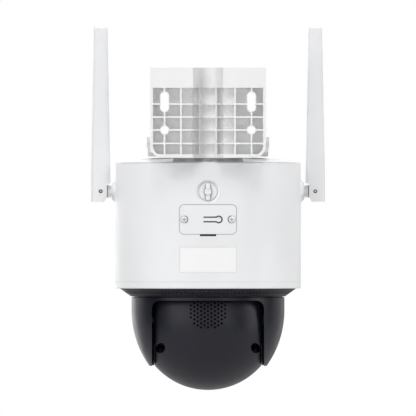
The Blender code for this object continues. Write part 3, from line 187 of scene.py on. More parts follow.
def rectangle(left, bottom, right, top, radius=0.0, steps=6):
    """A rectangle with round corners."""
    corners = [(left, bottom), (right, bottom), (right, top), (left, top)]
    return path([(u, v, radius) for u, v in corners], True, steps)


def grown(outline, amount):
    """A closed outline let out by an amount, or taken in where it is negative."""
    count = len(outline)
    area = sum(outline[i - 1][0] * outline[i][1] - outline[i][0] * outline[i - 1][1]
               for i in range(count))
    way = 1.0 if area > 0 else -1.0
    points = []
    for i in range(count):
        here = Vector(outline[i])
        into = (here - Vector(outline[i - 1])).normalized()
        out = (Vector(outline[(i + 1) % count]) - here).normalized()
        lean = (into + out).normalized()
        normal = Vector((lean.y, -lean.x)) * way
        cosine = max(0.35, Vector((into.y, -into.x)).dot(Vector((lean.y, -lean.x))))
        points.append(tuple(here + normal * (amount / cosine)))
    return points


def place(axis, u, v, w):
    """A point from two outline coordinates and one along the axis."""
    point = [u, v]
    point.insert(AXES.index(axis), w)
    return point


def stack(name, loops, axis, smooth=35.0):
    """A solid skinned over loops of (outline, height), capped at both ends."""
    bm = bmesh.new()
    rings = [[bm.verts.new(place(axis, u, v, height)) for u, v in outline]
             for outline, height in loops]
    count = len(rings[0])
    for low, high in zip(rings, rings[1:]):
        for i in range(count):
            j = (i + 1) % count
            bm.faces.new((low[i], low[j], high[j], high[i]))
    bm.faces.new(rings[0])
    bm.faces.new(rings[-1])
    return make(name, bm, smooth)


def slab(name, outline, axis, start, end, edge=0.0, steps=3):
    """An outline pushed along an axis, with its two rims rounded."""
    if edge <= 0:
        return stack(name, [(outline, start), (outline, end)], axis)
    way = 1.0 if end > start else -1.0
    loops = []
    for i in range(steps + 1):
        angle = math.pi / 2 * i / steps
        loops.append((grown(outline, -edge * (1 - math.sin(angle))),
                      start + way * edge * (1 - math.cos(angle))))
    for i in range(steps, -1, -1):
        angle = math.pi / 2 * i / steps
        loops.append((grown(outline, -edge * (1 - math.sin(angle))),
                      end - way * edge * (1 - math.cos(angle))))
    return stack(name, loops, axis, 60.0)


def lathe(name, profile, centre=(0.0, 0.0, 0.0), axis="Z", way=1.0, segments=96, closed=True,
          smooth=35.0):
    """A profile of (radius, height) points turned about an axis; way -1 points it backwards."""
    bm = bmesh.new()
    rings = []
    for radius, height in profile:
        if radius < 1e-5:
            spots = [(0.0, 0.0)]
        else:
            spots = [(radius * math.cos(2 * math.pi * i / segments),
                      radius * math.sin(2 * math.pi * i / segments)) for i in range(segments)]
        rings.append([bm.verts.new(Vector(place(axis, u, v, way * height)) + Vector(centre))
                      for u, v in spots])
    pairs = list(zip(rings, rings[1:]))
    if closed:
        pairs.append((rings[-1], rings[0]))
    for first, second in pairs:
        for i in range(segments):
            j = (i + 1) % segments
            corners = [first[i % len(first)], first[j % len(first)],
                       second[j % len(second)], second[i % len(second)]]
            corners = list(dict.fromkeys(corners))
            if len(corners) > 2:
                bm.faces.new(corners)
    return make(name, bm, smooth)


def rod(name, radius, start, end, axis="Z", segments=48):
    """A plain round cutter from a point to a coordinate along the axis."""
    index = AXES.index(axis)
    length = end - start[index]
    profile = [(0.0, 0.0), (radius, 0.0), (radius, length), (0.0, length)]
    return lathe(name, profile, start, axis, 1.0, segments, False)


def block(name, low, high):
    """A plain box cutter between two corners."""
    outline = rectangle(low[0], low[1], high[0], high[1])
    return stack(name, [(outline, low[2]), (outline, high[2])], "Z")


def turned(name, profile, closed=True):
    """A profile turned about the drum's upright axis."""
    return lathe(name, profile, (0, DRUM_Y, 0), "Z", 1.0, 192, closed)


def core(radius):
    """A round cutter about the drum's axis, taller than the drum."""
    return rod("core", radius, (0, DRUM_Y, -200), 0, "Z", 192)


def many(name, makers):
    """Several separate cutters joined into one object."""
    bm = bmesh.new()
    for obj in makers:
        bm.from_mesh(obj.data)
        bpy.data.objects.remove(obj, do_unlink=True)
    bmesh.ops.scale(bm, verts=bm.verts, vec=(1 / TO_METRES,) * 3)
    return make(name, bm)


def moved(obj, matrix):
    """Move a mesh given in millimetres by a matrix in millimetres."""
    scale = Matrix.Diagonal((TO_METRES,) * 3 + (1.0,))
    obj.data.transform(scale @ matrix @ scale.inverted())
    return obj


def plus(arm, width):
    """The outline of a cross recess."""
    a, w = arm, width
    return [(w, w), (a, w), (a, -w), (w, -w), (w, -a), (-w, -a),
            (-w, -w), (-a, -w), (-a, w), (-w, w), (-w, a), (w, a)]


def shifted(outline, du, dv):
    """An outline moved in its own plane."""
    return [(u + du, v + dv) for u, v in outline]


# ---------------------------------------------------------------- materials
class Look:
    """A node material about one Principled BSDF, in object coordinates."""

    def __init__(self, name, **values):
        self.material = bpy.data.materials.new(name)
        self.material.use_nodes = True
        self.tree = self.material.node_tree
        self.shader = self.tree.nodes["Principled BSDF"]
        self.spot = self.tree.nodes.new("ShaderNodeTexCoord").outputs["Object"]
        for key, value in values.items():
            self.shader.inputs[key.replace("_", " ")].default_value = value

    def node(self, kind, links=(), values=(), **settings):
        """Add a node, set its values and join its inputs."""
        node = self.tree.nodes.new(kind)
        for key, value in settings.items():
            setattr(node, key, value)
        for key, value in dict(values).items():
            node.inputs[key].default_value = value
        for key, source in dict(links).items():
            self.tree.links.new(source, node.inputs[key])
        return node

    def stretch(self, factors):
        """Object coordinates scaled by three factors."""
        node = self.node("ShaderNodeMapping", {"Vector": self.spot}, {"Scale": factors})
        return node.outputs["Vector"]

    def noise(self, scale, detail=2.0, spot=None):
        """Noise in features a metre."""
        node = self.node("ShaderNodeTexNoise", {"Vector": spot or self.spot},
                         {"Scale": scale, "Detail": detail})
        return node.outputs["Fac"]

    def ramp(self, value, low, high, to_low=0.0, to_high=1.0):
        """A value taken from one range to another and held there."""
        values = {"From Min": low, "From Max": high, "To Min": to_low, "To Max": to_high}
        return self.node("ShaderNodeMapRange", {"Value": value}, values).outputs["Result"]

    def mix(self, factor, first, second):
        """A colour between two, each a colour or an output."""
        node = self.node("ShaderNodeMix", {"Factor": factor}, data_type="RGBA")
        for slot, colour in ((6, first), (7, second)):
            if isinstance(colour, tuple):
                node.inputs[slot].default_value = (*colour, 1.0)
            else:
                self.tree.links.new(colour, node.inputs[slot])
        return node.outputs[2]

    def maths(self, operation, first, second):
        """Two numbers or outputs combined."""
        node = self.node("ShaderNodeMath", operation=operation)
        for slot, value in enumerate((first, second)):
            if isinstance(value, float):
                node.inputs[slot].default_value = value
            else:
                self.tree.links.new(value, node.inputs[slot])
        return node.outputs[0]

    def drive(self, socket, source):
        """Join an output to one of the shader's inputs."""
        self.tree.links.new(source, self.shader.inputs[socket])

    def bump(self, height, strength, depth_mm):
        """Raise the surface by a height pattern."""
        node = self.node("ShaderNodeBump", {"Height": height},
                         {"Strength": strength, "Distance": depth_mm * TO_METRES})
        self.drive("Normal", node.outputs["Normal"])


def tone(colour, factor):
    """A colour made lighter or darker."""
    return tuple(min(1.0, channel * factor) for channel in colour)


def pole_hollow_shade(look):
    """Painted shade down both sides of the pole hollow, lighter along its floor."""
    axes = look.node("ShaderNodeSeparateXYZ", {"Vector": look.spot}).outputs
    across, other = axes["X"], look.maths("MULTIPLY", axes["X"], -1.0)
    left = look.ramp(across, 0.0, 0.0050, 0.09, 0.36)
    right = look.ramp(other, 0.0035, 0.0075, 0.09, 0.33)
    inside = look.ramp(look.maths("MAXIMUM", across, other), 0.0123, 0.0130, 1.0, 0.0)
    shallow = look.ramp(axes["Y"], -0.0093, -0.0089, 0.2, 1.0)
    both = look.maths("MULTIPLY", look.maths("MAXIMUM", left, right), inside)
    both = look.maths("MULTIPLY", both, shallow)
    return look.maths("MULTIPLY", both, look.ramp(look.noise(160.0, 3.0), 0.3, 0.7, 0.92, 1.08))


def plastic(name, colour, roughness, mottle=0.02, grain=0.12, grain_mm=0.45, wear=0.0, recess_shade=0.0,
            reach_mm=3.0, shade_pole_hollow=False, **values):
    """Moulded plastic: fine spark-eroded grain, faint flow mottling and paler worn edges, with painted
    shade in its recesses and, where asked, down the sides of the pole hollow.
    """
    look = Look(name, **values)
    broad = look.noise(22.0, 4.0)
    base = look.mix(look.ramp(broad, 0.3, 0.7), tone(colour, 1 - mottle), tone(colour, 1 + mottle))
    if wear:
        edge = look.node("ShaderNodeNewGeometry").outputs["Pointiness"]
        rubbed = look.maths("MULTIPLY", look.ramp(edge, 0.52, 0.60, 0.0, wear),
                            look.ramp(look.noise(260.0, 3.0), 0.35, 0.65))
        base = look.mix(rubbed, base, tone(colour, 1.0 + 4.0 * wear))
    # Painted shade: the base colour darkens where ambient occlusion finds a recess close by.
    if recess_shade:
        hollow = look.node("ShaderNodeAmbientOcclusion", values={"Distance": reach_mm * TO_METRES},
                           samples=16, only_local=True)
        recess_darkening = look.ramp(hollow.outputs["AO"], 0.72, 0.96, recess_shade, 0.0)
        base = look.mix(recess_darkening, base, tone(colour, 0.30))
    # Painted shade down the sides of the pole hollow.
    if shade_pole_hollow:
        base = look.mix(pole_hollow_shade(look), base, tone(colour, 0.30))
    look.drive("Base Color", base)
    fine = look.noise(1000.0 / grain_mm, 2.0)
    smear = look.noise(90.0, 3.0)
    spread = look.ramp(smear, 0.25, 0.75, roughness - 0.045, roughness + 0.045)
    look.drive("Roughness", spread)
    look.bump(fine, grain, 0.05)
    return look.material


def metal(name, colour, roughness):
    """Turned steel with fine scratches and a little tarnish."""
    look = Look(name, Metallic=1.0)
    stain = look.noise(180.0, 4.0)
    look.drive("Base Color", look.mix(look.ramp(stain, 0.4, 0.75), colour, tone(colour, 0.72)))
    brushed = look.noise(900.0, 3.0, look.stretch((1.0, 6.0, 1.0)))
    look.drive("Roughness", look.ramp(brushed, 0.3, 0.7, roughness - 0.08, roughness + 0.12))
    look.bump(brushed, 0.15, 0.03)
    return look.material


def rubber(name, colour):
    """Soft black rubber with a bloom of dust."""
    look = Look(name, Specular_IOR_Level=0.3)
    dust = look.noise(140.0, 5.0)
    look.drive("Base Color", look.mix(look.ramp(dust, 0.45, 0.8), colour, tone(colour, 2.2)))
    look.drive("Roughness", look.ramp(dust, 0.3, 0.7, 0.68, 0.85))
    look.bump(look.noise(1400.0, 2.0), 0.3, 0.05)
    return look.material


def paper(name, colour):
    """A matt film label with a faint fibre."""
    look = Look(name, Coat_Weight=0.08, Coat_Roughness=0.4)
    fibre = look.noise(700.0, 6.0, look.stretch((1.0, 1.0, 3.0)))
    look.drive("Base Color", look.mix(look.ramp(fibre, 0.3, 0.7), tone(colour, 0.985), colour))
    look.drive("Roughness", look.ramp(fibre, 0.3, 0.7, 0.46, 0.58))
    look.bump(fibre, 0.06, 0.03)
    return look.material


def circuit(name):
    """Black solder mask over copper runs."""
    look = Look(name, Coat_Weight=0.35, Coat_Roughness=0.2)
    runs = look.node("ShaderNodeTexVoronoi", {"Vector": look.spot}, {"Scale": 260.0},
                     distance="MANHATTAN", feature="F1")
    line = look.ramp(runs.outputs["Distance"], 0.44, 0.5)
    look.drive("Base Color", look.mix(line, (0.012, 0.016, 0.014), (0.05, 0.07, 0.06)))
    look.drive("Roughness", look.ramp(look.noise(300.0), 0.3, 0.7, 0.38, 0.52))
    look.bump(line, 0.3, 0.05)
    return look.material


def wrap(name, colour):
    """The shrunk film round a battery cell."""
    look = Look(name, Coat_Weight=0.3, Coat_Roughness=0.25)
    ripple = look.noise(120.0, 3.0, look.stretch((0.4, 3.0, 3.0)))
    shade = look.ramp(ripple, 0.3, 0.7)
    look.drive("Base Color", look.mix(shade, tone(colour, 0.85), tone(colour, 1.15)))
    look.drive("Roughness", look.ramp(ripple, 0.3, 0.7, 0.28, 0.42))
    look.bump(ripple, 0.2, 0.2)
    return look.material


def silicon(name):
    """A solar cell: blue-black silicon under fine silver fingers."""
    look = Look(name, Coat_Weight=1.0, Coat_Roughness=0.06, Specular_IOR_Level=0.55)
    fingers = look.node("ShaderNodeTexWave", {"Vector": look.spot}, {"Scale": 220.0},
                        bands_direction="Y", wave_profile="SIN")
    line = look.ramp(fingers.outputs["Fac"], 0.93, 0.99, 0.0, 0.55)
    crystal = look.ramp(look.noise(60.0, 4.0), 0.3, 0.7)
    grain = look.mix(crystal, (0.006, 0.010, 0.034), (0.012, 0.022, 0.075))
    look.drive("Base Color", look.mix(line, grain, (0.42, 0.45, 0.50)))
    look.drive("Roughness", look.ramp(line, 0.0, 0.55, 0.22, 0.35))
    look.bump(line, 0.15, 0.03)
    return look.material


def clear(name, colour, roughness, reflection_tint=None):
    """Glossy dark glass with a faint smear; a given tint is a painted reflection, the base colour
    turning to it towards grazing view.
    """
    look = Look(name, Specular_IOR_Level=0.7, Coat_Weight=1.0, Coat_Roughness=0.03)
    smear = look.noise(70.0, 4.0)
    tinted = look.mix(look.ramp(smear, 0.35, 0.7), colour, tone(colour, 1.35))
    # Painted reflection: the base colour turns to the tint as the surface turns away from the view.
    if reflection_tint:
        facing = look.node("ShaderNodeLayerWeight", values={"Blend": 0.35}).outputs["Facing"]
        tinted = look.mix(look.ramp(facing, 0.1, 0.75), tinted, reflection_tint)
    look.drive("Base Color", tinted)
    look.drive("Roughness", look.ramp(smear, 0.3, 0.7, roughness, roughness + 0.06))
    return look.material


def lamp(name, colour, patch):
    """A lamp's phosphor: a soft patch with a granular surface."""
    look = Look(name, Coat_Weight=0.8, Coat_Roughness=0.05)
    grain = look.noise(2600.0, 3.0)
    look.drive("Base Color", look.mix(look.ramp(grain, 0.3, 0.7), colour, patch))
    look.drive("Roughness", look.ramp(grain, 0.3, 0.7, 0.3, 0.5))
    look.bump(grain, 0.2, 0.05)
    return look.material


WHITE = (0.880, 0.884, 0.894)
MATERIALS = {
    "white": plastic("moulded_white", WHITE, 0.42),
    # drum_white, cap_white and painted_steel darken in their recesses: painted shade.
    "drum_white": plastic("drum_white", WHITE, 0.42, recess_shade=0.3),
    # bracket_white carries painted shade down the sides of its pole hollow.
    "bracket_white": plastic("bracket_white", (0.895, 0.897, 0.900), 0.45, wear=0.02, shade_pole_hollow=True),
    # antenna_white is a darker copy of the white plastic: painted shade on the antennas.
    "antenna_white": plastic("antenna_white", (0.805, 0.809, 0.820), 0.42),
    "cap_white": plastic("cap_white", tone(WHITE, 1.04), 0.42, recess_shade=0.75, reach_mm=2.0),
    "grey": plastic("moulded_grey", (0.60, 0.605, 0.615), 0.48, grain=0.2, wear=0.03),
    "gloss_black": plastic("gloss_black", (0.0080, 0.0086, 0.0165), 0.36, mottle=0.06, grain=0.05,
                           wear=0.1, Specular_IOR_Level=0.42),
    "satin_black": plastic("satin_black", (0.0080, 0.0085, 0.0140), 0.45, mottle=0.08, grain=0.18,
                           wear=0.1, Specular_IOR_Level=0.3),
    # This dark grey is painted shade, for the strip under the foot of the bracket and the ring at each
    # antenna knuckle.
    "shadow_grey_rubber": rubber("shadow_grey_rubber", (0.24, 0.24, 0.245)),
    "steel": metal("steel", (0.66, 0.66, 0.67), 0.30),
    "black_steel": metal("black_steel", (0.03, 0.03, 0.033), 0.45),
    "painted_steel": plastic("painted_steel", (0.95, 0.95, 0.955), 0.35, recess_shade=0.5, reach_mm=1.0),
    "rubber": rubber("black_rubber", (0.018, 0.018, 0.019)),
    "label": paper("label_film", (0.97, 0.97, 0.972)),
    "board": circuit("circuit_board"),
    "cell": wrap("cell_wrap", (0.02, 0.11, 0.30)),
    "nylon": plastic("nylon", (0.74, 0.72, 0.66), 0.5, mottle=0.04, grain=0.1, Subsurface_Weight=0.1),
    "silicon": silicon("solar_silicon"),
    "backsheet": plastic("solar_backsheet", (0.03, 0.032, 0.04), 0.3, grain=0.04, Coat_Weight=1.0),
    "busbar": metal("solar_busbar", (0.70, 0.70, 0.72), 0.32),
    "glass": clear("black_glass", (0.010, 0.010, 0.012), 0.05),
    # The violet tint of the lens is a painted reflection of its coating.
    "lens": clear("coated_lens", (0.006, 0.006, 0.012), 0.03, (0.10, 0.04, 0.16)),
    "reflector": metal("lamp_reflector", (0.80, 0.80, 0.80), 0.18),
    "white_lamp": lamp("white_lamp", (0.85, 0.68, 0.16), (0.95, 0.80, 0.30)),
    "infrared_lamp": lamp("infrared_lamp", (0.05, 0.012, 0.03), (0.09, 0.02, 0.05)),
    "sensor": plastic("sensor_window", (0.86, 0.86, 0.87), 0.3, grain=0.04, Subsurface_Weight=0.2),
    "card_black": plastic("card_black", (0.02, 0.02, 0.022), 0.35, grain=0.1),
}


def dress(obj, look, body, slot, *nodes):
    """Give a piece its material and its body, and hide the CAD nodes that it stands for; the slot
    argument is not used.
    """
    obj.data.materials.clear()
    obj.data.materials.append(MATERIALS[look])
    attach(obj, body)
    if nodes:
        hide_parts(*nodes)
    return obj


# -------------------------------------------------------------- the bracket
RIB = 1.45
RIBS_X = (-36.8, -22.9, -7.0, 7.0, 22.9, 36.8)
RIBS_Z = (6.3, -4.7, -15.6, -27.0)
STRIP_FOOT = 20.0
CELL_FLOOR = -8.6
PLATE_DEPTH = 10.0
PLATE_TOP = 37.1
POLE_R = 13.8
POLE_Y = 5.1
TROUGH_R = 25.0
TROUGH_Y = 12.2
TROUGH_WALL = 2.0
SLOT, HOLE = (8.2, 9.8), (-15.6, 0.0)
FIXINGS = [(side * 36.7, *fixing) for side in (-1, 1) for fixing in (SLOT, HOLE)]
RIM_SIDE, RIM_FOOT = 2.4, 3.1
HINGE_HOLE_R = 2.8


def pill(x, z, radius, travel):
    """An upright slot's outline."""
    top, low = (x, z + travel / 2), (x, z - travel / 2)
    return arc(top, radius, 0, 180, 16) + arc(low, radius, 180, 360, 16)


def cheek_outline():
    """A cheek from the side, from the plate down to the hinge eye."""
    root, top, eye_r = 0.5 - PLATE_DEPTH, 34.0, 6.5
    run = Vector((root - HINGE_AT.y, top - HINGE_AT.z))
    lean = math.degrees(math.atan2(run.y, run.x)) + 90 - math.degrees(math.asin(eye_r / run.length))
    eye = arc((HINGE_AT.y, HINGE_AT.z), eye_r, lean, 270, 24)
    return [(root, HINGE_AT.z - eye_r), (root, top)] + eye


def cheek_panel():
    """The sunk panel on a cheek's outer face."""
    corners = [(-14.0, -29.5, 2.0), (-14.0, 19.0, 2.0), (-47.0, -18.5, 2.5), (-49.0, -29.5, 2.0)]
    return path(corners, True, 6)


def trough_section(radius, face, back, half):
    """An upright section that follows the pole: flat at the face, bulging round its middle."""
    lean = math.degrees(math.asin((TROUGH_Y - face) / radius))
    front = arc((0.0, TROUGH_Y), radius, 180 + lean, 360 - lean, 96)
    return [(-half, back), (-half, face)] + front + [(half, face), (half, back)]


def bracket():
    """The ribbed wall plate with its pole hollow and two cheeks."""
    half_x, foot = PLATE_HIGH.x, PLATE_LOW.z
    section = trough_section(TROUGH_R + TROUGH_WALL, -PLATE_DEPTH, 0.0, half_x)
    lean = math.degrees(math.asin(POLE_Y / POLE_R))
    section += arc((0.0, POLE_Y), POLE_R, 360 - lean, 180 + lean, 72)
    plate = slab("bracket_plate", section, "Z", foot, PLATE_TOP)
    corners = [(-half_x, foot, 10.2), (half_x, foot, 10.2), (half_x, 60), (-half_x, 60)]
    outline = path(corners, True, 16)
    work(plate, [slab("outline", outline, "Y", -30, 12)], "INTERSECT")
    edges_x = [x + side * RIB / 2 for x in RIBS_X for side in (-1, 1)]
    edges_x = [RIM_SIDE - half_x] + edges_x + [half_x - RIM_SIDE]
    edges_z = [z - side * RIB / 2 for z in RIBS_Z for side in (-1, 1)]
    edges_z = [STRIP_FOOT] + edges_z + [foot + RIM_FOOT]
    cells = []
    for left, right in zip(edges_x[::2], edges_x[1::2]):
        for top, low in zip(edges_z[::2], edges_z[1::2]):
            cells.append(block("cell", (left, -40, low), (right, 10, top)))
    cells = many("cells", cells)
    reach = slab("reach", trough_section(TROUGH_R, CELL_FLOOR, 8.0, 60), "Z", -60, 60)
    work(cells, [reach, slab("inner", grown(outline, -2.5), "Y", -40, 20)], "INTERSECT")
    work(plate, [cells])
    bosses = [slab("boss", pill(x, z, 4.0, travel), "Y", CELL_FLOOR - 0.5, -0.15)
              for x, z, travel in FIXINGS]
    holes = [slab("hole", pill(x, z, 3.0, travel), "Y", -30, 10) for x, z, travel in FIXINGS]
    work(plate, [many("bosses", bosses)], "UNION")
    work(plate, [many("holes", holes)])
    cheeks = []
    for side in (-1, 1):
        cheek = slab("cheek", cheek_outline(), "X", side * 46.2, side * (half_x - 0.01))
        work(cheek, [slab("panel", cheek_panel(), "X", side * (half_x - 0.8), side * (half_x + 2))])
        cheeks.append(cheek)
    work(plate, [many("cheeks", cheeks)], "UNION")
    work(plate, [rod("eye", HINGE_HOLE_R, (-60, HINGE_AT.y, HINGE_AT.z), 60, "X", 32)])
    ease(plate, 0.28, 2)
    dress(plate, "bracket_white", "bracket", "white_plastic", "wall_bracket")


def hinge_pin(word, side):
    """A round-headed hinge pin with a cross recess and a peened far end."""
    profile = path([(0.0, -1.8), (2.6, -1.8, 0.6), (4.2, -1.1, 0.5), (4.2, -0.3), (2.5, -0.3),
                    (2.5, 5.9, 0.7), (0.0, 5.9)], False, 5)
    seat = (side * 46.05, HINGE_AT.y, HINGE_AT.z)
    pin = lathe(f"hinge_bolt_{word}", profile, seat, "X", side, 48, False)
    recess = shifted(plus(2.0, 0.45), HINGE_AT.y, HINGE_AT.z)
    work(pin, [slab("recess", recess, "X", side * 42.0, side * 45.15)])
    dress(pin, "steel", "bracket", "steel", f"hinge_pin_{word}")


# ------------------------------------------------------------------ the lid
def cradle():
    """The grey cradle whose ears carry the bracket."""
    low, high = span("cradle")
    base_top, inner = -34.9, 49.35
    ear_top = high.z
    section = [(50.9, low.z, 0.8), (high.x, ear_top, 0.5), (inner, ear_top, 0.5)]
    section += [(inner, base_top, 1.6)]
    section += [(-u, v, r) for u, v, r in reversed(section)]
    body = slab("cradle_yoke", path(section, True, 5), "Y", low.y, high.y)
    rear = high.y
    side = [(rear + 1, low.z - 1), (rear + 1, base_top)]
    side += arc((HINGE_AT.y, HINGE_AT.z), 6.5, 0, 180, 24)
    side += [(low.y - 1, base_top), (low.y - 1, low.z - 1)]
    work(body, [slab("side", side, "X", -60, 60)], "INTERSECT")
    top = HINGE_AT.z - 1.0
    wing = [(inner + 1.0, low.z + 1.0), (inner + 1.0, top)]
    wing += arc((inner - 8.0, top), 8.0, 0, -47, 12)
    wing += [(-u, v) for u, v in reversed(wing)]
    work(body, [slab("wing", wing, "Y", low.y + 0.1, low.y + 2.5)], "UNION")
    cutters = [rod("eye", HINGE_HOLE_R, (-60, HINGE_AT.y, HINGE_AT.z), 60, "X", 32)]
    cutters += [rod("seat", 1.9, (x, HINGE_AT.y, -60), 0, "Z", 24) for x in (-30, 30)]
    work(body, cutters)
    ease(body, 0.4, 2)
    dress(body, "grey", "drum", "grey_plastic", "cradle")


def screw(name, centre, axis, way, head_r, head, shank_r, length, look, body, node):
    """A domed screw with a cross recess; its head's underside is at the centre."""
    profile = path([(0.0, head), (head_r * 0.62, head, head * 0.5), (head_r, head * 0.45, head * 0.35),
                    (head_r, 0.0), (shank_r, 0.0), (shank_r, -length), (0.0, -length)], False, 5)
    part = lathe(name, profile, centre, axis, way, 48, False)
    index = AXES.index(axis)
    flat = [centre[i] for i in range(3) if i != index]
    recess = shifted(plus(head_r * 0.56, head_r * 0.15), *flat)
    deep = centre[index] + way * head * 0.25
    work(part, [slab("recess", recess, axis, deep, centre[index] + way * (head + 2.0))])
    dress(part, look, body, "steel", node)
    return part


def dome(radius, rim, rise, steps):
    """A shallow elliptical dome from the axis out to its rim."""
    return [(u, rim + v) for u, v in quarter(radius, rise, steps)]


def half_moon(radius, chord_y, steps=96):
    """The part of a disc about the drum's axis in front of a chord."""
    lean = math.degrees(math.asin((chord_y - DRUM_Y) / radius))
    return arc((0.0, DRUM_Y), radius, 180 - lean, 360 + lean, steps)


PANEL_R = 70.0
PANEL_CHORD = -79.0
PANEL_FLOOR = -43.0


def lid():
    """The domed lid with its solar tray and two screw seats."""
    rim = -43.2
    rise = LID_HIGH.z - rim
    profile = dome(DRUM_R, rim, rise, 28)
    profile += [(74.0, rim), (74.0, rim - 6.8), (72.5, rim - 6.8)]
    inner = dome(DRUM_R - WALL, rim - WALL, rise, 28)
    profile += [(r, z) for r, z in reversed(inner) if r < 72.4]
    cover = turned("lid_dome", profile, False)
    tray = slab("tray", half_moon(PANEL_R + 2.0, PANEL_CHORD + 2.0), "Z", PANEL_FLOOR - 2.5,
                PANEL_FLOOR + 1.0)
    work(cover, [tray], "UNION")
    cutters = [slab("pocket", half_moon(PANEL_R, PANEL_CHORD), "Z", PANEL_FLOOR, 0)]
    cutters += [rod("seat", 1.8, (x, HINGE_AT.y, -60), 0, "Z", 24) for x in (-30, 30)]
    work(cover, cutters)
    ease(cover, 0.12, 2, 40)
    dress(cover, "white", "drum", "white_plastic", "top_lid")


def shadow_strip():
    """A grey strip with a rubber finish on the rear rim of the lid, under the foot of the bracket; its
    dark grey is painted shade for the shadow there.
    """
    rim, top = -43.3, -39.4
    section = path([(76.4, rim), (78.3, rim), (78.1, top, 0.5), (76.4, top, 0.5)], True, 4)
    strip = turned("shadow_strip", section)
    outline = path([(-30.4, rim - 1), (30.4, rim - 1), (28.6, top + 1), (-28.6, top + 1)], True, 4)
    work(strip, [slab("reach", outline, "Y", DRUM_Y + 40, DRUM_Y + 90)], "INTERSECT")
    ease(strip, 0.15, 2)
    dress(strip, "shadow_grey_rubber", "drum", "seal_rubber")


def solar():
    """The laminate: a dark sheet, cells clipped to the half-moon, busbars and a clear edge."""
    low, high = span("solar_panel")
    outline = half_moon(PANEL_R - 0.3, PANEL_CHORD - 0.3)
    sheet = slab("solar_sheet", outline, "Z", low.z, high.z - 0.3, 0.25)
    dress(sheet, "backsheet", "drum", "solar_laminate", "solar_panel")
    width, depth, gap = 22.0, 13.2, 1.2
    inside = half_moon(PANEL_R - 3.2, PANEL_CHORD - 3.2)
    cells, bars = [], []
    for column in range(-3, 4):
        for row in range(6):
            left = column * (width + gap) - width / 2
            back = PANEL_CHORD - 3.2 - row * (depth + gap)
            if Vector((abs(column) * (width + gap) - width / 2, back - DRUM_Y)).length > PANEL_R - 7:
                continue
            outline = rectangle(left, back - depth, left + width, back, 1.6, 3)
            cells.append(slab("cell", outline, "Z", high.z - 0.35, high.z - 0.12))
    cells = many("solar_cells", cells)
    work(cells, [slab("inside", inside, "Z", high.z - 2, high.z + 2)], "INTERSECT")
    dress(cells, "silicon", "drum", "solar_laminate")
    for column in range(-3, 4):
        for offset in (-5.5, 5.5):
            x = column * (width + gap) + offset
            reach = math.sqrt(max(0.0, (PANEL_R - 4.5) ** 2 - x * x))
            front = DRUM_Y - reach
            if front < PANEL_CHORD - 14.0:
                outline = rectangle(x - 0.45, front, x + 0.45, PANEL_CHORD - 4.2)
                bars.append(slab("bar", outline, "Z", high.z - 0.2, high.z - 0.04))
    dress(many("solar_busbars", bars), "busbar", "drum", "solar_laminate")


# ----------------------------------------------------------------- the drum
DOOR = (-24.3, -103.9, 24.3, -78.7)
DOOR_Z = (DOOR[1] + DOOR[3]) / 2
DOOR_CORNER = 4.1
DOOR_SCREW_X = 20.1
LABEL = (-24.1, -136.3, 24.1, -114.6)
KEY_ROOT, KEY_DISC, KEY_HALF, KEY_R, KEY_SLIT = 3.8, -9.1, 1.4, 2.2, 1.1
ANTENNA_X = JOINT_AT["antenna_fold_left"].x
ANTENNA_Z = JOINT_AT["antenna_fold_left"].z
BOSS_X = JOINT_AT["antenna_swivel_left"].x


def door_outline(inset):
    """The service door's outline, taken in all round."""
    left, foot, right, top = DOOR
    return rectangle(left + inset, foot + inset, right - inset, top - inset, DOOR_CORNER - inset, 8)


def skin_cutter(name, outline, depth):
    """A cutter that takes an outline out of the drum's back, to a depth under its skin."""
    tool = slab(name, outline, "Y", -30, 0)
    return work(tool, [core(DRUM_R - depth)])


def drum():
    """The drum's wall with its openings, antenna seats and foot groove."""
    inner = DRUM_R - WALL
    profile = path([(DRUM_R, DRUM_TOP, 0.12), (DRUM_R, -144.0), (DRUM_R - 0.15, -144.15),
                    (DRUM_R - 0.15, -144.6), (DRUM_R, -144.75), (DRUM_R, DRUM_FOOT, 1.1),
                    (inner, DRUM_FOOT, 0.3), (inner, DRUM_TOP, 0.3)], True, 5)
    shell = turned("drum_wall", profile)
    seats = []
    for side in (-1, 1):
        flare = [(0.0, BOSS_X), (7.2, BOSS_X), (7.7, BOSS_X - 0.5), (7.8, BOSS_X - 0.75)]
        flare += [(7.1, BOSS_X - 0.8), (7.1, BOSS_X - 1.15)]
        flare += [(8.0, BOSS_X - 1.2), (8.8, BOSS_X - 2.1), (10.2, BOSS_X - 3.0)]
        flare += [(12.4, BOSS_X - 3.8)]
        flare += [(12.4, 76.5), (0.0, 76.5)]
        seats.append(lathe("seat", flare, (0, DRUM_Y, ANTENNA_Z), "X", side, 64, False))
    port = rod("port", 11.0, (0, -15.5, PORT_AT.z), -10.0, "Y", 64)
    work(shell, seats + [port], "UNION")
    pry = rectangle(-6.9, -105.4, 6.9, DOOR[1] + 1.0, 0.3, 3)
    dish = [(0.0, -20.0), (4.8, -20.0), (4.8, -11.2), (7.95, -11.2), (7.95, -10.1), (9.75, -8.75),
            (9.9, -6.0), (0.0, -6.0)]
    cutters = [
        slab("door", door_outline(-0.1), "Y", -30, 0),
        skin_cutter("pry", pry, WALL + 2.0),
        skin_cutter("label", rectangle(*LABEL, 0.6, 3), 0.28),
        lathe("dish", dish, (0, 0, PORT_AT.z), "Y", 1.0, 64, False),
        rod("sensor", 8.5, (0, DRUM_Y - 90, -100), DRUM_Y - 60, "Y", 48),
        rod("antennas", 4.4, (-100, DRUM_Y, ANTENNA_Z), 100, "X", 32),
    ]
    work(shell, cutters)
    ease(shell, 0.22, 2, 40)
    dress(shell, "drum_white", "drum", "white_plastic", "drum_shell")


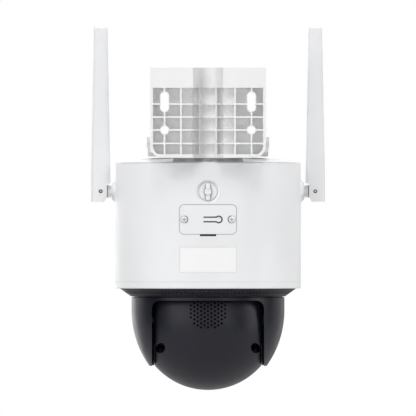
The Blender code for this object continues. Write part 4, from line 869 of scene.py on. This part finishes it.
def curved(name, outline, outer_r, thickness):
    """A plate that follows the drum's curve, with its outline seen from behind."""
    plate = slab(name, outline, "Y", -32, 0)
    work(plate, [core(outer_r)], "INTERSECT")
    return work(plate, [core(outer_r - thickness)])


def key_outline(grow):
    """The spring key: a tongue that ends in a disc."""
    half, radius = KEY_HALF + grow, KEY_R + grow
    lean = math.degrees(math.asin(half / radius))
    root = KEY_ROOT - (0.0 if grow else 0.015)
    disc = arc((KEY_DISC, DOOR_Z), radius, lean, 360 - lean, 32)
    return disc + [(root, DOOR_Z - half), (root, DOOR_Z + half)]


def door():
    """The service door, its spring key and two screws."""
    plate = curved("door_plate", door_outline(0.2), DRUM_R, 2.0)
    cutters = [slab("slit", key_outline(KEY_SLIT), "Y", -30, 0)]
    for x in (-DOOR_SCREW_X, DOOR_SCREW_X):
        cutters.append(rod("shank", 1.8, (x, -30, DOOR_Z), 0, "Y", 24))
        cutters.append(rod("seat", 3.4, (x, -12.6, DOOR_Z), 0, "Y", 40))
    work(plate, cutters)
    ease(plate, 0.2, 2, 40)
    dress(plate, "white", "door", "white_plastic", "service_door")
    key = curved("key_tongue", key_outline(0.0), DRUM_R, 2.0)
    work(key, [rod("dimple", 1.5, (KEY_DISC, -8.95, DOOR_Z), 0, "Y", 32)])
    ease(key, 0.15, 2, 40)
    dress(key, "white", "key", "white_plastic", "reset_key")
    for word, side in (("left", 1), ("right", -1)):
        screw(f"door_bolt_{word}", (side * DOOR_SCREW_X, -11.65, DOOR_Z), "Y", 1.0, 2.8, 1.15,
              1.3, 7.0, "painted_steel", "door", f"door_screw_{word}")


def label():
    """The blank label in its shallow recess."""
    left, foot, right, top = LABEL
    outline = rectangle(left + 0.3, foot + 0.3, right - 0.3, top - 0.3, 0.6, 3)
    plate = curved("blank_label", outline, DRUM_R - 0.1, 0.15)
    dress(plate, "label", "drum", "label_film", "rating_label")


def cap():
    """The round port cap with a grip bar and a centre boss."""
    profile = path([(0.0, 2.1), (5.9, 2.1), (6.5, 2.3, 0.3), (7.7, 2.3, 0.5), (7.7, 0.3, 0.2),
                    (4.2, 0.3), (4.2, -3.6), (0.0, -3.6)], False, 4)
    disc = lathe("cap_disc", profile, PORT_AT, "Y", 1.0, 96, False)
    grip = rectangle(-1.82, PORT_AT.z - 7.2, 1.82, PORT_AT.z + 7.2, 1.6, 6)
    bar = slab("grip", grip, "Y", PORT_AT.y + 1.0, -7.6, 0.35)
    hub = lathe("hub", path([(0.0, -7.35), (1.7, -7.35, 0.4), (2.0, -7.1, 0.2), (2.9, -7.1, 0.5),
                             (2.9, PORT_AT.y + 1.0), (0.0, PORT_AT.y + 1.0)], False, 4),
                (0, 0, PORT_AT.z), "Y", 1.0, 48, False)
    work(disc, [bar, hub], "UNION")
    ease(disc, 0.15, 2, 40)
    dress(disc, "cap_white", "cap", "white_plastic", "port_cap")


def sensor():
    """The motion sensor's faceted dome and its collar."""
    profile = [(0.0, 4.8)]
    for radius in (1.4, 2.8, 4.2, 5.6, 6.9):
        height = 4.8 * math.sqrt(max(0.0, 1 - (radius / 7.8) ** 2))
        profile += [(radius - 0.12, height + 0.02), (radius, height - 0.22)]
        profile += [(radius + 0.12, height - 0.02)]
    profile += [(7.8, 0.6), (7.8, -3.0), (10.0, -3.0), (10.0, -4.2), (0.0, -4.2)]
    front = (0.0, DRUM_Y - DRUM_R + 0.3, -100.0)
    window = lathe("sensor_dome", profile, front, "Y", -1.0, 24, False, 12.0)
    dress(window, "sensor", "drum", "sensor_window", "sensor_lens")


# ------------------------------------------------------------- the antennas
def superellipse(half_u, half_v, power, count=72):
    """A rounded section between an ellipse and a rectangle."""
    points = []
    for i in range(count):
        angle = 2 * math.pi * i / count
        c, s = math.cos(angle), math.sin(angle)
        points.append((half_u * math.copysign(abs(c) ** (2 / power), c),
                       half_v * math.copysign(abs(s) ** (2 / power), s)))
    return points


def antenna(word, side):
    """One antenna: a tapered paddle, its knuckle, its pin and a grey ring at the knuckle whose dark
    colour is painted shade for the shadow line in the gap there.
    """
    low, high = span(f"antenna_blade_{word}")
    foot, top, break_z = low.z, high.z, -58.0
    loops = []
    stops = [(foot, 0.25), (foot + 0.25, 0.0), (break_z, 0.0)]
    stops += [(break_z + (top - 2.0 - break_z) * i / 12, 0.0) for i in range(1, 13)]
    stops += [(top - 2.0 + up, 2.0 - out) for up, out in quarter(2.0, 2.0, 6)[1:]]
    for z, inset in stops:
        share = min(1.0, max(0.0, (z - break_z) / (top - break_z)))
        half_u = 8.25 + (5.74 - 8.25) * share - inset
        half_v = 5.5 + (4.0 - 5.5) * share - inset * 0.8
        section = superellipse(half_u, half_v, 2.5)
        loops.append((shifted(section, side * ANTENNA_X, DRUM_Y), z))
    blade = stack(f"antenna_paddle_{word}", loops, "Z", 50.0)
    notch_x = ANTENNA_X - 5.35
    notch = [(ANTENNA_X - 12, foot - 2), (ANTENNA_X - 1.3, foot - 2), (ANTENNA_X - 2.7, foot),
             (notch_x, -72.4), (notch_x, -61.2), (ANTENNA_X - 8.5, -60.2), (ANTENNA_X - 12, -60.2)]
    notch = [(side * x, z) for x, z in notch]
    slot_x = sorted((side * 79.0, side * (ANTENNA_X + 6.2)))
    slot_box = block("slot", (slot_x[0], DRUM_Y - 2.8, -90), (slot_x[1], DRUM_Y + 2.8, -61.5))
    through = (side * ANTENNA_X, DRUM_Y - 20, ANTENNA_Z)
    eye = rod("eye", 2.0, through, DRUM_Y + 20, "Y", 32)
    work(blade, [slab("notch", notch, "Y", DRUM_Y - 20, DRUM_Y + 20), slot_box, eye])
    ease(blade, 0.18, 2, 45)
    dress(blade, "antenna_white", f"antenna_{word}", "white_plastic", f"antenna_blade_{word}")

    start = BOSS_X + 0.3
    outline = arc((ANTENNA_X, ANTENNA_Z), 5.3, -90, 90, 20)
    outline += [(start, ANTENNA_Z + 5.3), (start, ANTENNA_Z - 5.3)]
    outline = [(side * x, z) for x, z in outline]
    tongue = slab(f"antenna_tongue_{word}", outline, "Y", DRUM_Y - 2.5, DRUM_Y + 2.5)
    shaft = rod("shaft", 4.1, (side * 70.0, DRUM_Y, ANTENNA_Z), side * (start - 0.05), "X", 40)
    root_x = sorted((side * 79.0, side * (start + 1.5)))
    root = block("root", (root_x[0], DRUM_Y - 2.45, ANTENNA_Z - 3.2),
                 (root_x[1], DRUM_Y + 2.45, ANTENNA_Z + 3.2))
    work(tongue, [root, shaft], "UNION")
    grooves = []
    for z in (ANTENNA_Z - 2.9, ANTENNA_Z + 2.9):
        for y in (DRUM_Y - 2.5, DRUM_Y + 2.5):
            low_x, high_x = sorted((side * (start + 0.2), side * (start + 2.7)))
            grooves.append(block("groove", (low_x, y - 1.2, z - 0.5), (high_x, y + 1.2, z + 0.5)))
    eye = rod("eye", 2.0, through, DRUM_Y + 20, "Y", 32)
    work(tongue, [eye, many("grooves", grooves)])
    ease(tongue, 0.2, 2, 40)
    dress(tongue, "antenna_white", f"swivel_{word}", "white_plastic", f"antenna_knuckle_{word}")
    # The grey ring is painted shade: it stands for the shadow line between the knuckle and its seat.
    shadow_ring_x = sorted((side * (start + 2.9), side * (start + 3.9)))
    shadow_ring = rectangle(shadow_ring_x[0], ANTENNA_Z - 5.32, shadow_ring_x[1], ANTENNA_Z + 5.32, 0.3, 2)
    ring = slab(f"antenna_washer_{word}", shadow_ring, "Y", DRUM_Y - 2.62, DRUM_Y + 2.62, 0.15)
    dress(ring, "shadow_grey_rubber", f"swivel_{word}", "seal_rubber")

    half = 5.3
    profile = path([(0.0, half - 0.5), (1.1, half - 0.5), (1.1, half - 0.15),
                    (1.7, half - 0.15, 0.15), (1.7, 0.15 - half, 0.15), (1.1, 0.15 - half),
                    (1.1, 0.5 - half), (0.0, 0.5 - half)], False, 3)
    pivot = (side * ANTENNA_X, DRUM_Y, ANTENNA_Z)
    pin = lathe(f"antenna_axle_{word}", profile, pivot, "Y", 1.0, 32, False)
    dress(pin, "satin_black", f"swivel_{word}", "satin_black_plastic", f"antenna_pin_{word}")
    rivets = []
    for way in (-1.0, 1.0):
        head = [(0.0, half), (0.95, half, 0.3), (0.95, half - 0.45), (0.0, half - 0.45)]
        rivets.append(lathe("rivet", path(head, False, 3), pivot, "Y", way, 24, False))
    dress(many(f"antenna_rivets_{word}", rivets), "steel", f"swivel_{word}", "steel")


# ----------------------------------------------------- the yoke and its ball
BELL_R = 65.0
BELL_EQUATOR = -168.0
BELL_SEMI = 74.4
WINDOW_TOP = -160.1
COVER_IN, COVER_OUT = 47.6, 49.5
BOSS_R = 38.0
BOSS_RISE = 0.9


def bell_curve(wall, start, end, steps):
    """The bell's elliptical side between two heights, set in by a wall."""
    points = []
    for i in range(steps + 1):
        z = start + (end - start) * i / steps
        rise = min(1.0, max(0.0, (BELL_EQUATOR - z) / BELL_SEMI))
        points.append((BELL_R * math.sqrt(1 - rise * rise) - wall, z))
    return points


def sphere_curve(radius, start, end, steps):
    """A sphere's side about the ball's centre, between two heights."""
    points = []
    for i in range(steps + 1):
        z = start + (end - start) * i / steps
        points.append((math.sqrt(radius * radius - (z - BALL_AT.z) ** 2), z))
    return points


def vent():
    """The conical vent ring with its row of slits."""
    top, foot = -150.2, RING_LOW.z
    profile = path([(76.1, RING_HIGH.z), (76.1, -149.0), (74.6, -149.0), (74.6, top, 0.3),
                    (65.5, foot, 0.5), (64.1, foot), (64.1, -152.9), (69.5, -152.9), (69.5, -150.0),
                    (73.5, -148.0), (73.5, RING_HIGH.z)], True, 3)
    cone = turned("vent_cone", profile)
    slits, count = [], 124
    for i in range(count):
        slit = block("slit", (68.6, -0.55, -154.6), (75.0, 0.55, -152.3))
        turn = Matrix.Rotation(2 * math.pi * (i + 0.5) / count, 4, "Z")
        slits.append(moved(slit, Matrix.Translation((0, DRUM_Y, 0)) @ turn))
    work(cone, [many("slits", slits)])
    dress(cone, "satin_black", "drum", "satin_black_plastic", "vent_ring")


def bell():
    """The turning bell with its two arms, and the arms' covers."""
    gear_z = -131.3
    profile = [(6.0, -112.4)]
    profile += sphere_curve(64.2, -112.6, gear_z, 8)
    profile += [(50.0, gear_z), (50.0, gear_z - 2.5)]
    profile += sphere_curve(64.2, gear_z - 4.0, -147.0, 4)
    profile += [(67.5, -147.5), (67.5, -150.0), (63.4, -150.0), (63.4, -157.3), (64.6, -157.3),
                (65.0, -157.7)]
    profile += bell_curve(0.0, BELL_EQUATOR, BELL_FOOT, 36)
    profile += list(reversed(bell_curve(WALL, BELL_EQUATOR, BELL_FOOT + 0.4, 16)))
    profile += list(reversed(sphere_curve(62.0, -115.0, -164.0, 16)))
    profile += [(6.0, -115.0)]
    shell = turned("bell_shell", profile)
    window = rectangle(-COVER_IN, -260, COVER_IN, WINDOW_TOP, 7.0, 16)
    work(shell, [slab("window", window, "Y", DRUM_Y - 90, DRUM_Y + 90)])
    ease(shell, 0.3, 2, 40)
    dress(shell, "gloss_black", "yoke", "gloss_black_plastic", "pan_bell")
    for word, side in (("left", 1), ("right", -1)):
        points = [(0.0, -157.5), (61.0, -157.5)] + bell_curve(WALL + 0.15, -160.0, BELL_FOOT + 0.5, 28)
        blank = turned("blank", points + [(0.0, BELL_FOOT + 0.5)], False)
        low, high = sorted((side * COVER_IN, side * COVER_OUT))
        plate = block(f"arm_plate_{word}", (low, DRUM_Y - 70, -230), (high, DRUM_Y + 70, WINDOW_TOP + 2))
        low, high = sorted((side * (BALL_FLAT + 0.35), side * COVER_OUT))
        shroud = block("shroud", (low, DRUM_Y - 70, -230), (high, DRUM_Y - 5, -158))
        relief = rod("relief", BOSS_R + 0.6, (side * 40, DRUM_Y, BALL_AT.z),
                     side * (BALL_FLAT + BOSS_RISE + 0.3), "X", 96)
        work(shroud, [relief])
        work(plate, [shroud], "UNION")
        work(plate, [blank], "INTERSECT")
        work(plate, [rod("eye", 5.3, (side * 40, DRUM_Y, BALL_AT.z), side * 60, "X", 48)])
        ease(plate, 0.2, 2, 40)
        dress(plate, "gloss_black", "yoke", "gloss_black_plastic", f"arm_cover_{word}")


def sphere(name, radius, segments=160, rings=80):
    """A sphere about the origin with its poles on the X axis."""
    profile = [(radius * math.sin(math.pi * i / rings), radius * math.cos(math.pi * i / rings))
               for i in range(rings + 1)]
    return lathe(name, profile, (0, 0, 0), "X", 1.0, segments, False)


def ball_trim(name, radius, flat, low_y, high_y):
    """A sphere with two flats, between two heights along its own Y axis."""
    solid = sphere(name, radius)
    return work(solid, [block("limits", (-flat, low_y, -70), (flat, high_y, 70))], "INTERSECT")


SPLIT = -9.0
FACE = -52.0
GRILLE_R = 16.9
SCREW_X, SCREW_Z = 40.3, -29.2


def grille():
    """The speaker's round holes, staggered from column to column."""
    holes = []
    pitch_x, pitch_z = 2.907, 3.42
    for column in range(-5, 6):
        for row in range(-6, 7):
            x = column * pitch_x
            z = (row + (0.0 if column % 2 else 0.5)) * pitch_z
            if math.hypot(x, z) < GRILLE_R:
                holes.append(rod("hole", 0.93, (x, 48.0, z), 66.0, "Y", 16))
    return many("holes", holes)


def flat_bosses(low_y, high_y):
    """The round raised faces on the ball's two flats, between two heights of its Y axis."""
    discs = []
    for side in (-1, 1):
        start = (side * (BALL_FLAT - 2.0), 0, 0)
        disc = rod("disc", BOSS_R, start, side * (BALL_FLAT + BOSS_RISE), "X", 128)
        discs.append(work(disc, [block("half", (-60, low_y, -60), (60, high_y, 60))], "INTERSECT"))
    return many("bosses", discs)


def ball_rear():
    """The ball's rear shell with its speaker grille and two screw wells."""
    shell = ball_trim("ball_back", BALL_R, BALL_FLAT, SPLIT, 70)
    work(shell, [flat_bosses(SPLIT, 70)], "UNION")
    hollow = ball_trim("hollow", BALL_R - WALL, BALL_FLAT - WALL, -70, 70)
    wells = [rod("well", 4.8, (side * SCREW_X, SPLIT, SCREW_Z), 50, "Y", 32) for side in (-1, 1)]
    work(hollow, wells)
    work(shell, [hollow])
    cutters = [rod("well", 3.85, (side * SCREW_X, 17, SCREW_Z), 70, "Y", 40) for side in (-1, 1)]
    cutters += [rod("hole", 1.8, (side * SCREW_X, -20, SCREW_Z), 30, "Y", 24) for side in (-1, 1)]
    cutters += [rod("axle", 5.3, (-60, 0, 0), 60, "X", 48)]
    work(shell, cutters)
    ease(shell, 0.35, 2, 40)
    work(shell, [grille()])
    moved(shell, BALL_MATRIX)
    weighted = shell.modifiers.new("weighted", "WEIGHTED_NORMAL")
    weighted.keep_sharp = True
    dress(shell, "gloss_black", "ball", "gloss_black_plastic", "ball_rear_shell")


def ball_front():
    """The ball's front shell, open for the glass face."""
    shell = ball_trim("ball_nose", BALL_R, BALL_FLAT, FACE, SPLIT - 0.3)
    work(shell, [flat_bosses(-70, SPLIT - 0.3)], "UNION")
    hollow = ball_trim("hollow", BALL_R - WALL, BALL_FLAT - WALL, FACE + 3.4, 70)
    work(shell, [hollow])
    seat = rod("seat", 27.0, (0, FACE + 2.2, 0), -70, "Y", 96)
    work(shell, [seat, rod("opening", 24.5, (0, -70, 0), 0, "Y", 96)])
    ease(shell, 0.35, 2, 40)
    moved(shell, BALL_MATRIX)
    dress(shell, "gloss_black", "ball", "gloss_black_plastic", "ball_front_shell")


def ball_screws():
    """The two screws at the bottom of the rear shell's wells."""
    for word, side in (("left", 1), ("right", -1)):
        part = screw(f"ball_bolt_{word}", (side * SCREW_X, 17.3, SCREW_Z), "Y", 1.0, 3.0, 2.2, 1.5, 26.0,
                     "black_steel", "ball", f"ball_screw_{word}")
        moved(part, BALL_MATRIX)


def face():
    """The glass face: a black disc with the lens in its middle and lamps round it."""
    front, back = FACE + 0.1, FACE + 1.9
    lamp_r, lamps = 17.6, 8
    profile = path([(0.0, -back), (26.6, -back), (26.6, -front, 0.5), (0.0, -front)], False, 4)
    plate = lathe("face_disc", profile, (0, 0, 0), "Y", -1.0, 128, False)
    spots = arc((0.0, 0.0), lamp_r, 180 / lamps, 360 - 180 / lamps, lamps - 1)
    holes = [rod("lamp", 2.9, (x, -60, z), -40, "Y", 40) for x, z in spots]
    work(plate, [rod("lens", 10.2, (0, -60, 0), -40, "Y", 96), many("lamps", holes)])
    ease(plate, 0.15, 2, 40)
    dress(moved(plate, BALL_MATRIX), "glass", "ball", "dark_glass", "front_glass")
    rim = path([(10.0, -back - 1.0), (10.0, -front + 0.3, 0.3), (9.2, -front + 0.3, 0.3),
                (8.4, -front - 1.2), (8.4, -front - 2.2), (7.3, -front - 2.2), (7.3, -front - 4.0),
                (5.4, -front - 5.2), (5.4, -back - 6.0), (10.0, -back - 6.0)], True, 3)
    dress(moved(lathe("lens_rim", rim, (0, 0, 0), "Y", -1.0, 96), BALL_MATRIX), "satin_black", "ball",
          "satin_black_plastic")
    crown = [(0.0, -front - 1.0)]
    crown += dome(7.2, -front - 2.2, 1.2, 10)[1:]
    crown += [(7.2, -front - 3.4), (0.0, -front - 3.4)]
    glass = lathe("lens_glass", crown, (0, 0, 0), "Y", -1.0, 96, False)
    dress(moved(glass, BALL_MATRIX), "lens", "ball", "dark_glass")
    cups, white, infrared = [], [], []
    for number, (x, z) in enumerate(spots):
        cup = path([(2.8, -front - 0.1), (2.8, -back - 1.2), (0.0, -back - 1.2), (0.0, -back - 0.8),
                    (1.3, -back - 0.8), (2.6, -front - 0.1)], True, 2)
        cups.append(lathe("cup", cup, (x, 0, z), "Y", -1.0, 32))
        chip = [(0.0, -front - 0.7), (0.8, -front - 0.8), (1.3, -front - 1.2),
                (1.5, -back - 0.75), (0.0, -back - 0.75)]
        (white if number % 2 else infrared).append(lathe("chip", chip, (x, 0, z), "Y", -1.0, 24, False))
    for name, parts, look in (("lamp_cups", cups, "reflector"), ("white_lamps", white, "white_lamp"),
                              ("infrared_lamps", infrared, "infrared_lamp")):
        dress(moved(many(name, parts), BALL_MATRIX), look, "ball", "dark_glass")


# -------------------------------------------------------- carried-over nodes
KEPT = {
    "steel": ("antenna_clip_left", "antenna_clip_right", "radio_module", "pan_motor", "tilt_motor"),
    "rubber": ("lid_seal", "door_seal"),
    "satin_black": ("service_bay", "card_reader", "reset_button", "charge_socket", "chassis_ring",
                    "battery_tray", "lens_barrel", "speaker"),
    "label": ("sim_card",),
    "card_black": ("memory_card",),
    "board": ("main_board", "lamp_board", "image_board"),
    "cell": ("battery_cell_front", "battery_cell_rear"),
    "nylon": ("pan_bearing", "pan_gear", "pan_pinion", "tilt_gear", "tilt_pinion", "trunnion_left",
              "trunnion_right"),
}


def kept_nodes():
    """Give the CAD nodes that stay a detailed material."""
    for look, names in KEPT.items():
        for name in names:
            for slot in NODES[name].material_slots:
                slot.material = MATERIALS[look]


# -------------------------------------------------------------------- stage
MIDDLE = Vector((0.0, -0.087, -0.08))
VIEW_HEIGHT = -0.0816
VIEW_WIDTH = 0.3536
PANELS = [
    ("left_high", 55, 40, 2.2, 1.0, 1.2, 16.2),
    ("right_high", -80, 40, 2.2, 1.0, 1.2, 20.5),
    ("overhead_near", 0, 68, 2.0, 1.2, 1.2, 16.5),
    ("overhead_low", 0, 52, 2.0, 1.2, 1.2, 5.3),
    ("overhead_far", 180, 60, 2.0, 1.2, 1.2, 3.0),
    ("left_side_high", 80, 40, 2.2, 1.0, 1.2, 5.5),
    ("right_side", -80, 5, 2.2, 0.8, 1.4, 7.8),
    ("left_fill", 55, 5, 2.2, 1.0, 1.2, 5.5),
    ("left_front", 30, 5, 2.2, 1.0, 1.2, 5.1),
    ("right_front", -30, 5, 2.2, 1.0, 1.2, 5.3),
    ("centre", 0, 5, 2.2, 1.0, 1.2, 3.0),
    ("left_rim", 135, 0, 2.2, 1.6, 1.6, 6.5),
    ("right_rim", -135, 0, 2.2, 1.6, 1.6, 4.5),
    ("left_far_rim", 160, 0, 2.2, 1.2, 1.8, 12.0),
    ("right_far_rim", -160, 0, 2.2, 1.2, 1.8, 3.0),
    ("far_front", 180, 22, 2.2, 1.2, 1.2, 5.0),
]


def panel_light(name, azimuth, elevation, distance, size, power):
    """A soft rectangular light aimed at the camera's middle, placed by its bearing in degrees."""
    data = bpy.data.lights.new(name, "AREA")
    data.shape = "RECTANGLE"
    data.size, data.size_y = size
    data.energy = power
    turn, lift = math.radians(azimuth), math.radians(elevation)
    way = Vector((math.sin(turn) * math.cos(lift), math.cos(turn) * math.cos(lift), math.sin(lift)))
    obj = bpy.data.objects.new(name, data)
    obj.location = MIDDLE + way * distance
    obj.rotation_euler = (-way).to_track_quat("-Z", "Y").to_euler()
    obj.visible_camera = False
    SCENE.collection.objects.link(obj)


def stage():
    """The pale floor, the studio lights, the white surround and the camera."""
    SCENE.view_settings.view_transform = "Standard"
    world = bpy.data.worlds.new("studio")
    SCENE.world = world
    world.use_nodes = True
    nodes, links = world.node_tree.nodes, world.node_tree.links
    fill = nodes["Background"]
    fill.inputs["Color"].default_value = (0.97, 0.98, 1.0, 1.0)
    fill.inputs["Strength"].default_value = 0.01
    seen = nodes.new("ShaderNodeBackground")
    seen.inputs["Color"].default_value = (1.0, 1.0, 1.0, 1.0)
    light_path = nodes.new("ShaderNodeLightPath")
    choose = nodes.new("ShaderNodeMixShader")
    links.new(light_path.outputs["Is Camera Ray"], choose.inputs["Fac"])
    links.new(fill.outputs["Background"], choose.inputs[1])
    links.new(seen.outputs["Background"], choose.inputs[2])
    links.new(choose.outputs["Shader"], nodes["World Output"].inputs["Surface"])

    floor_look = Look("studio_floor")
    shade = floor_look.noise(6.0, 4.0)
    floor_look.drive("Base Color", floor_look.mix(shade, (0.56, 0.56, 0.56), (0.60, 0.60, 0.60)))
    floor_look.drive("Roughness", floor_look.ramp(shade, 0.3, 0.7, 0.7, 0.85))
    disc = lathe("floor", [(0.0, -520.0), (1700.0, -520.0)], (0, DRUM_Y, 0), "Z", 1.0, 96, False)
    disc.data.materials.append(floor_look.material)

    for name, azimuth, elevation, distance, width, height, power in PANELS:
        panel_light(name, azimuth, elevation, distance, (width, height), power)

    camera = bpy.data.cameras.new("camera")
    camera.lens = 1600.0
    camera.sensor_width = 36.0
    camera.clip_end = 60.0
    distance = VIEW_WIDTH * camera.lens / camera.sensor_width
    obj = bpy.data.objects.new("camera", camera)
    obj.location = (0.0, MIDDLE.y + distance, VIEW_HEIGHT)
    obj.rotation_euler = (math.radians(90), 0.0, math.radians(180))
    SCENE.collection.objects.link(obj)
    SCENE.camera = obj


def main():
    """Build every piece, then the stage."""
    for build in (stage, bracket, cradle, lid, shadow_strip, solar, drum, door, label, cap, sensor):
        build()
    for word, side in (("left", 1), ("right", -1)):
        hinge_pin(word, side)
        screw(f"cradle_bolt_{word}", (side * 30.0, HINGE_AT.y, -34.6), "Z", 1.0, 3.0, 2.0, 1.5,
              9.0, "steel", "drum", f"cradle_screw_{word}")
        antenna(word, side)
    for build in (vent, bell, ball_rear, ball_front, ball_screws, face, kept_nodes):
        build()
    bpy.context.view_layer.update()


main()
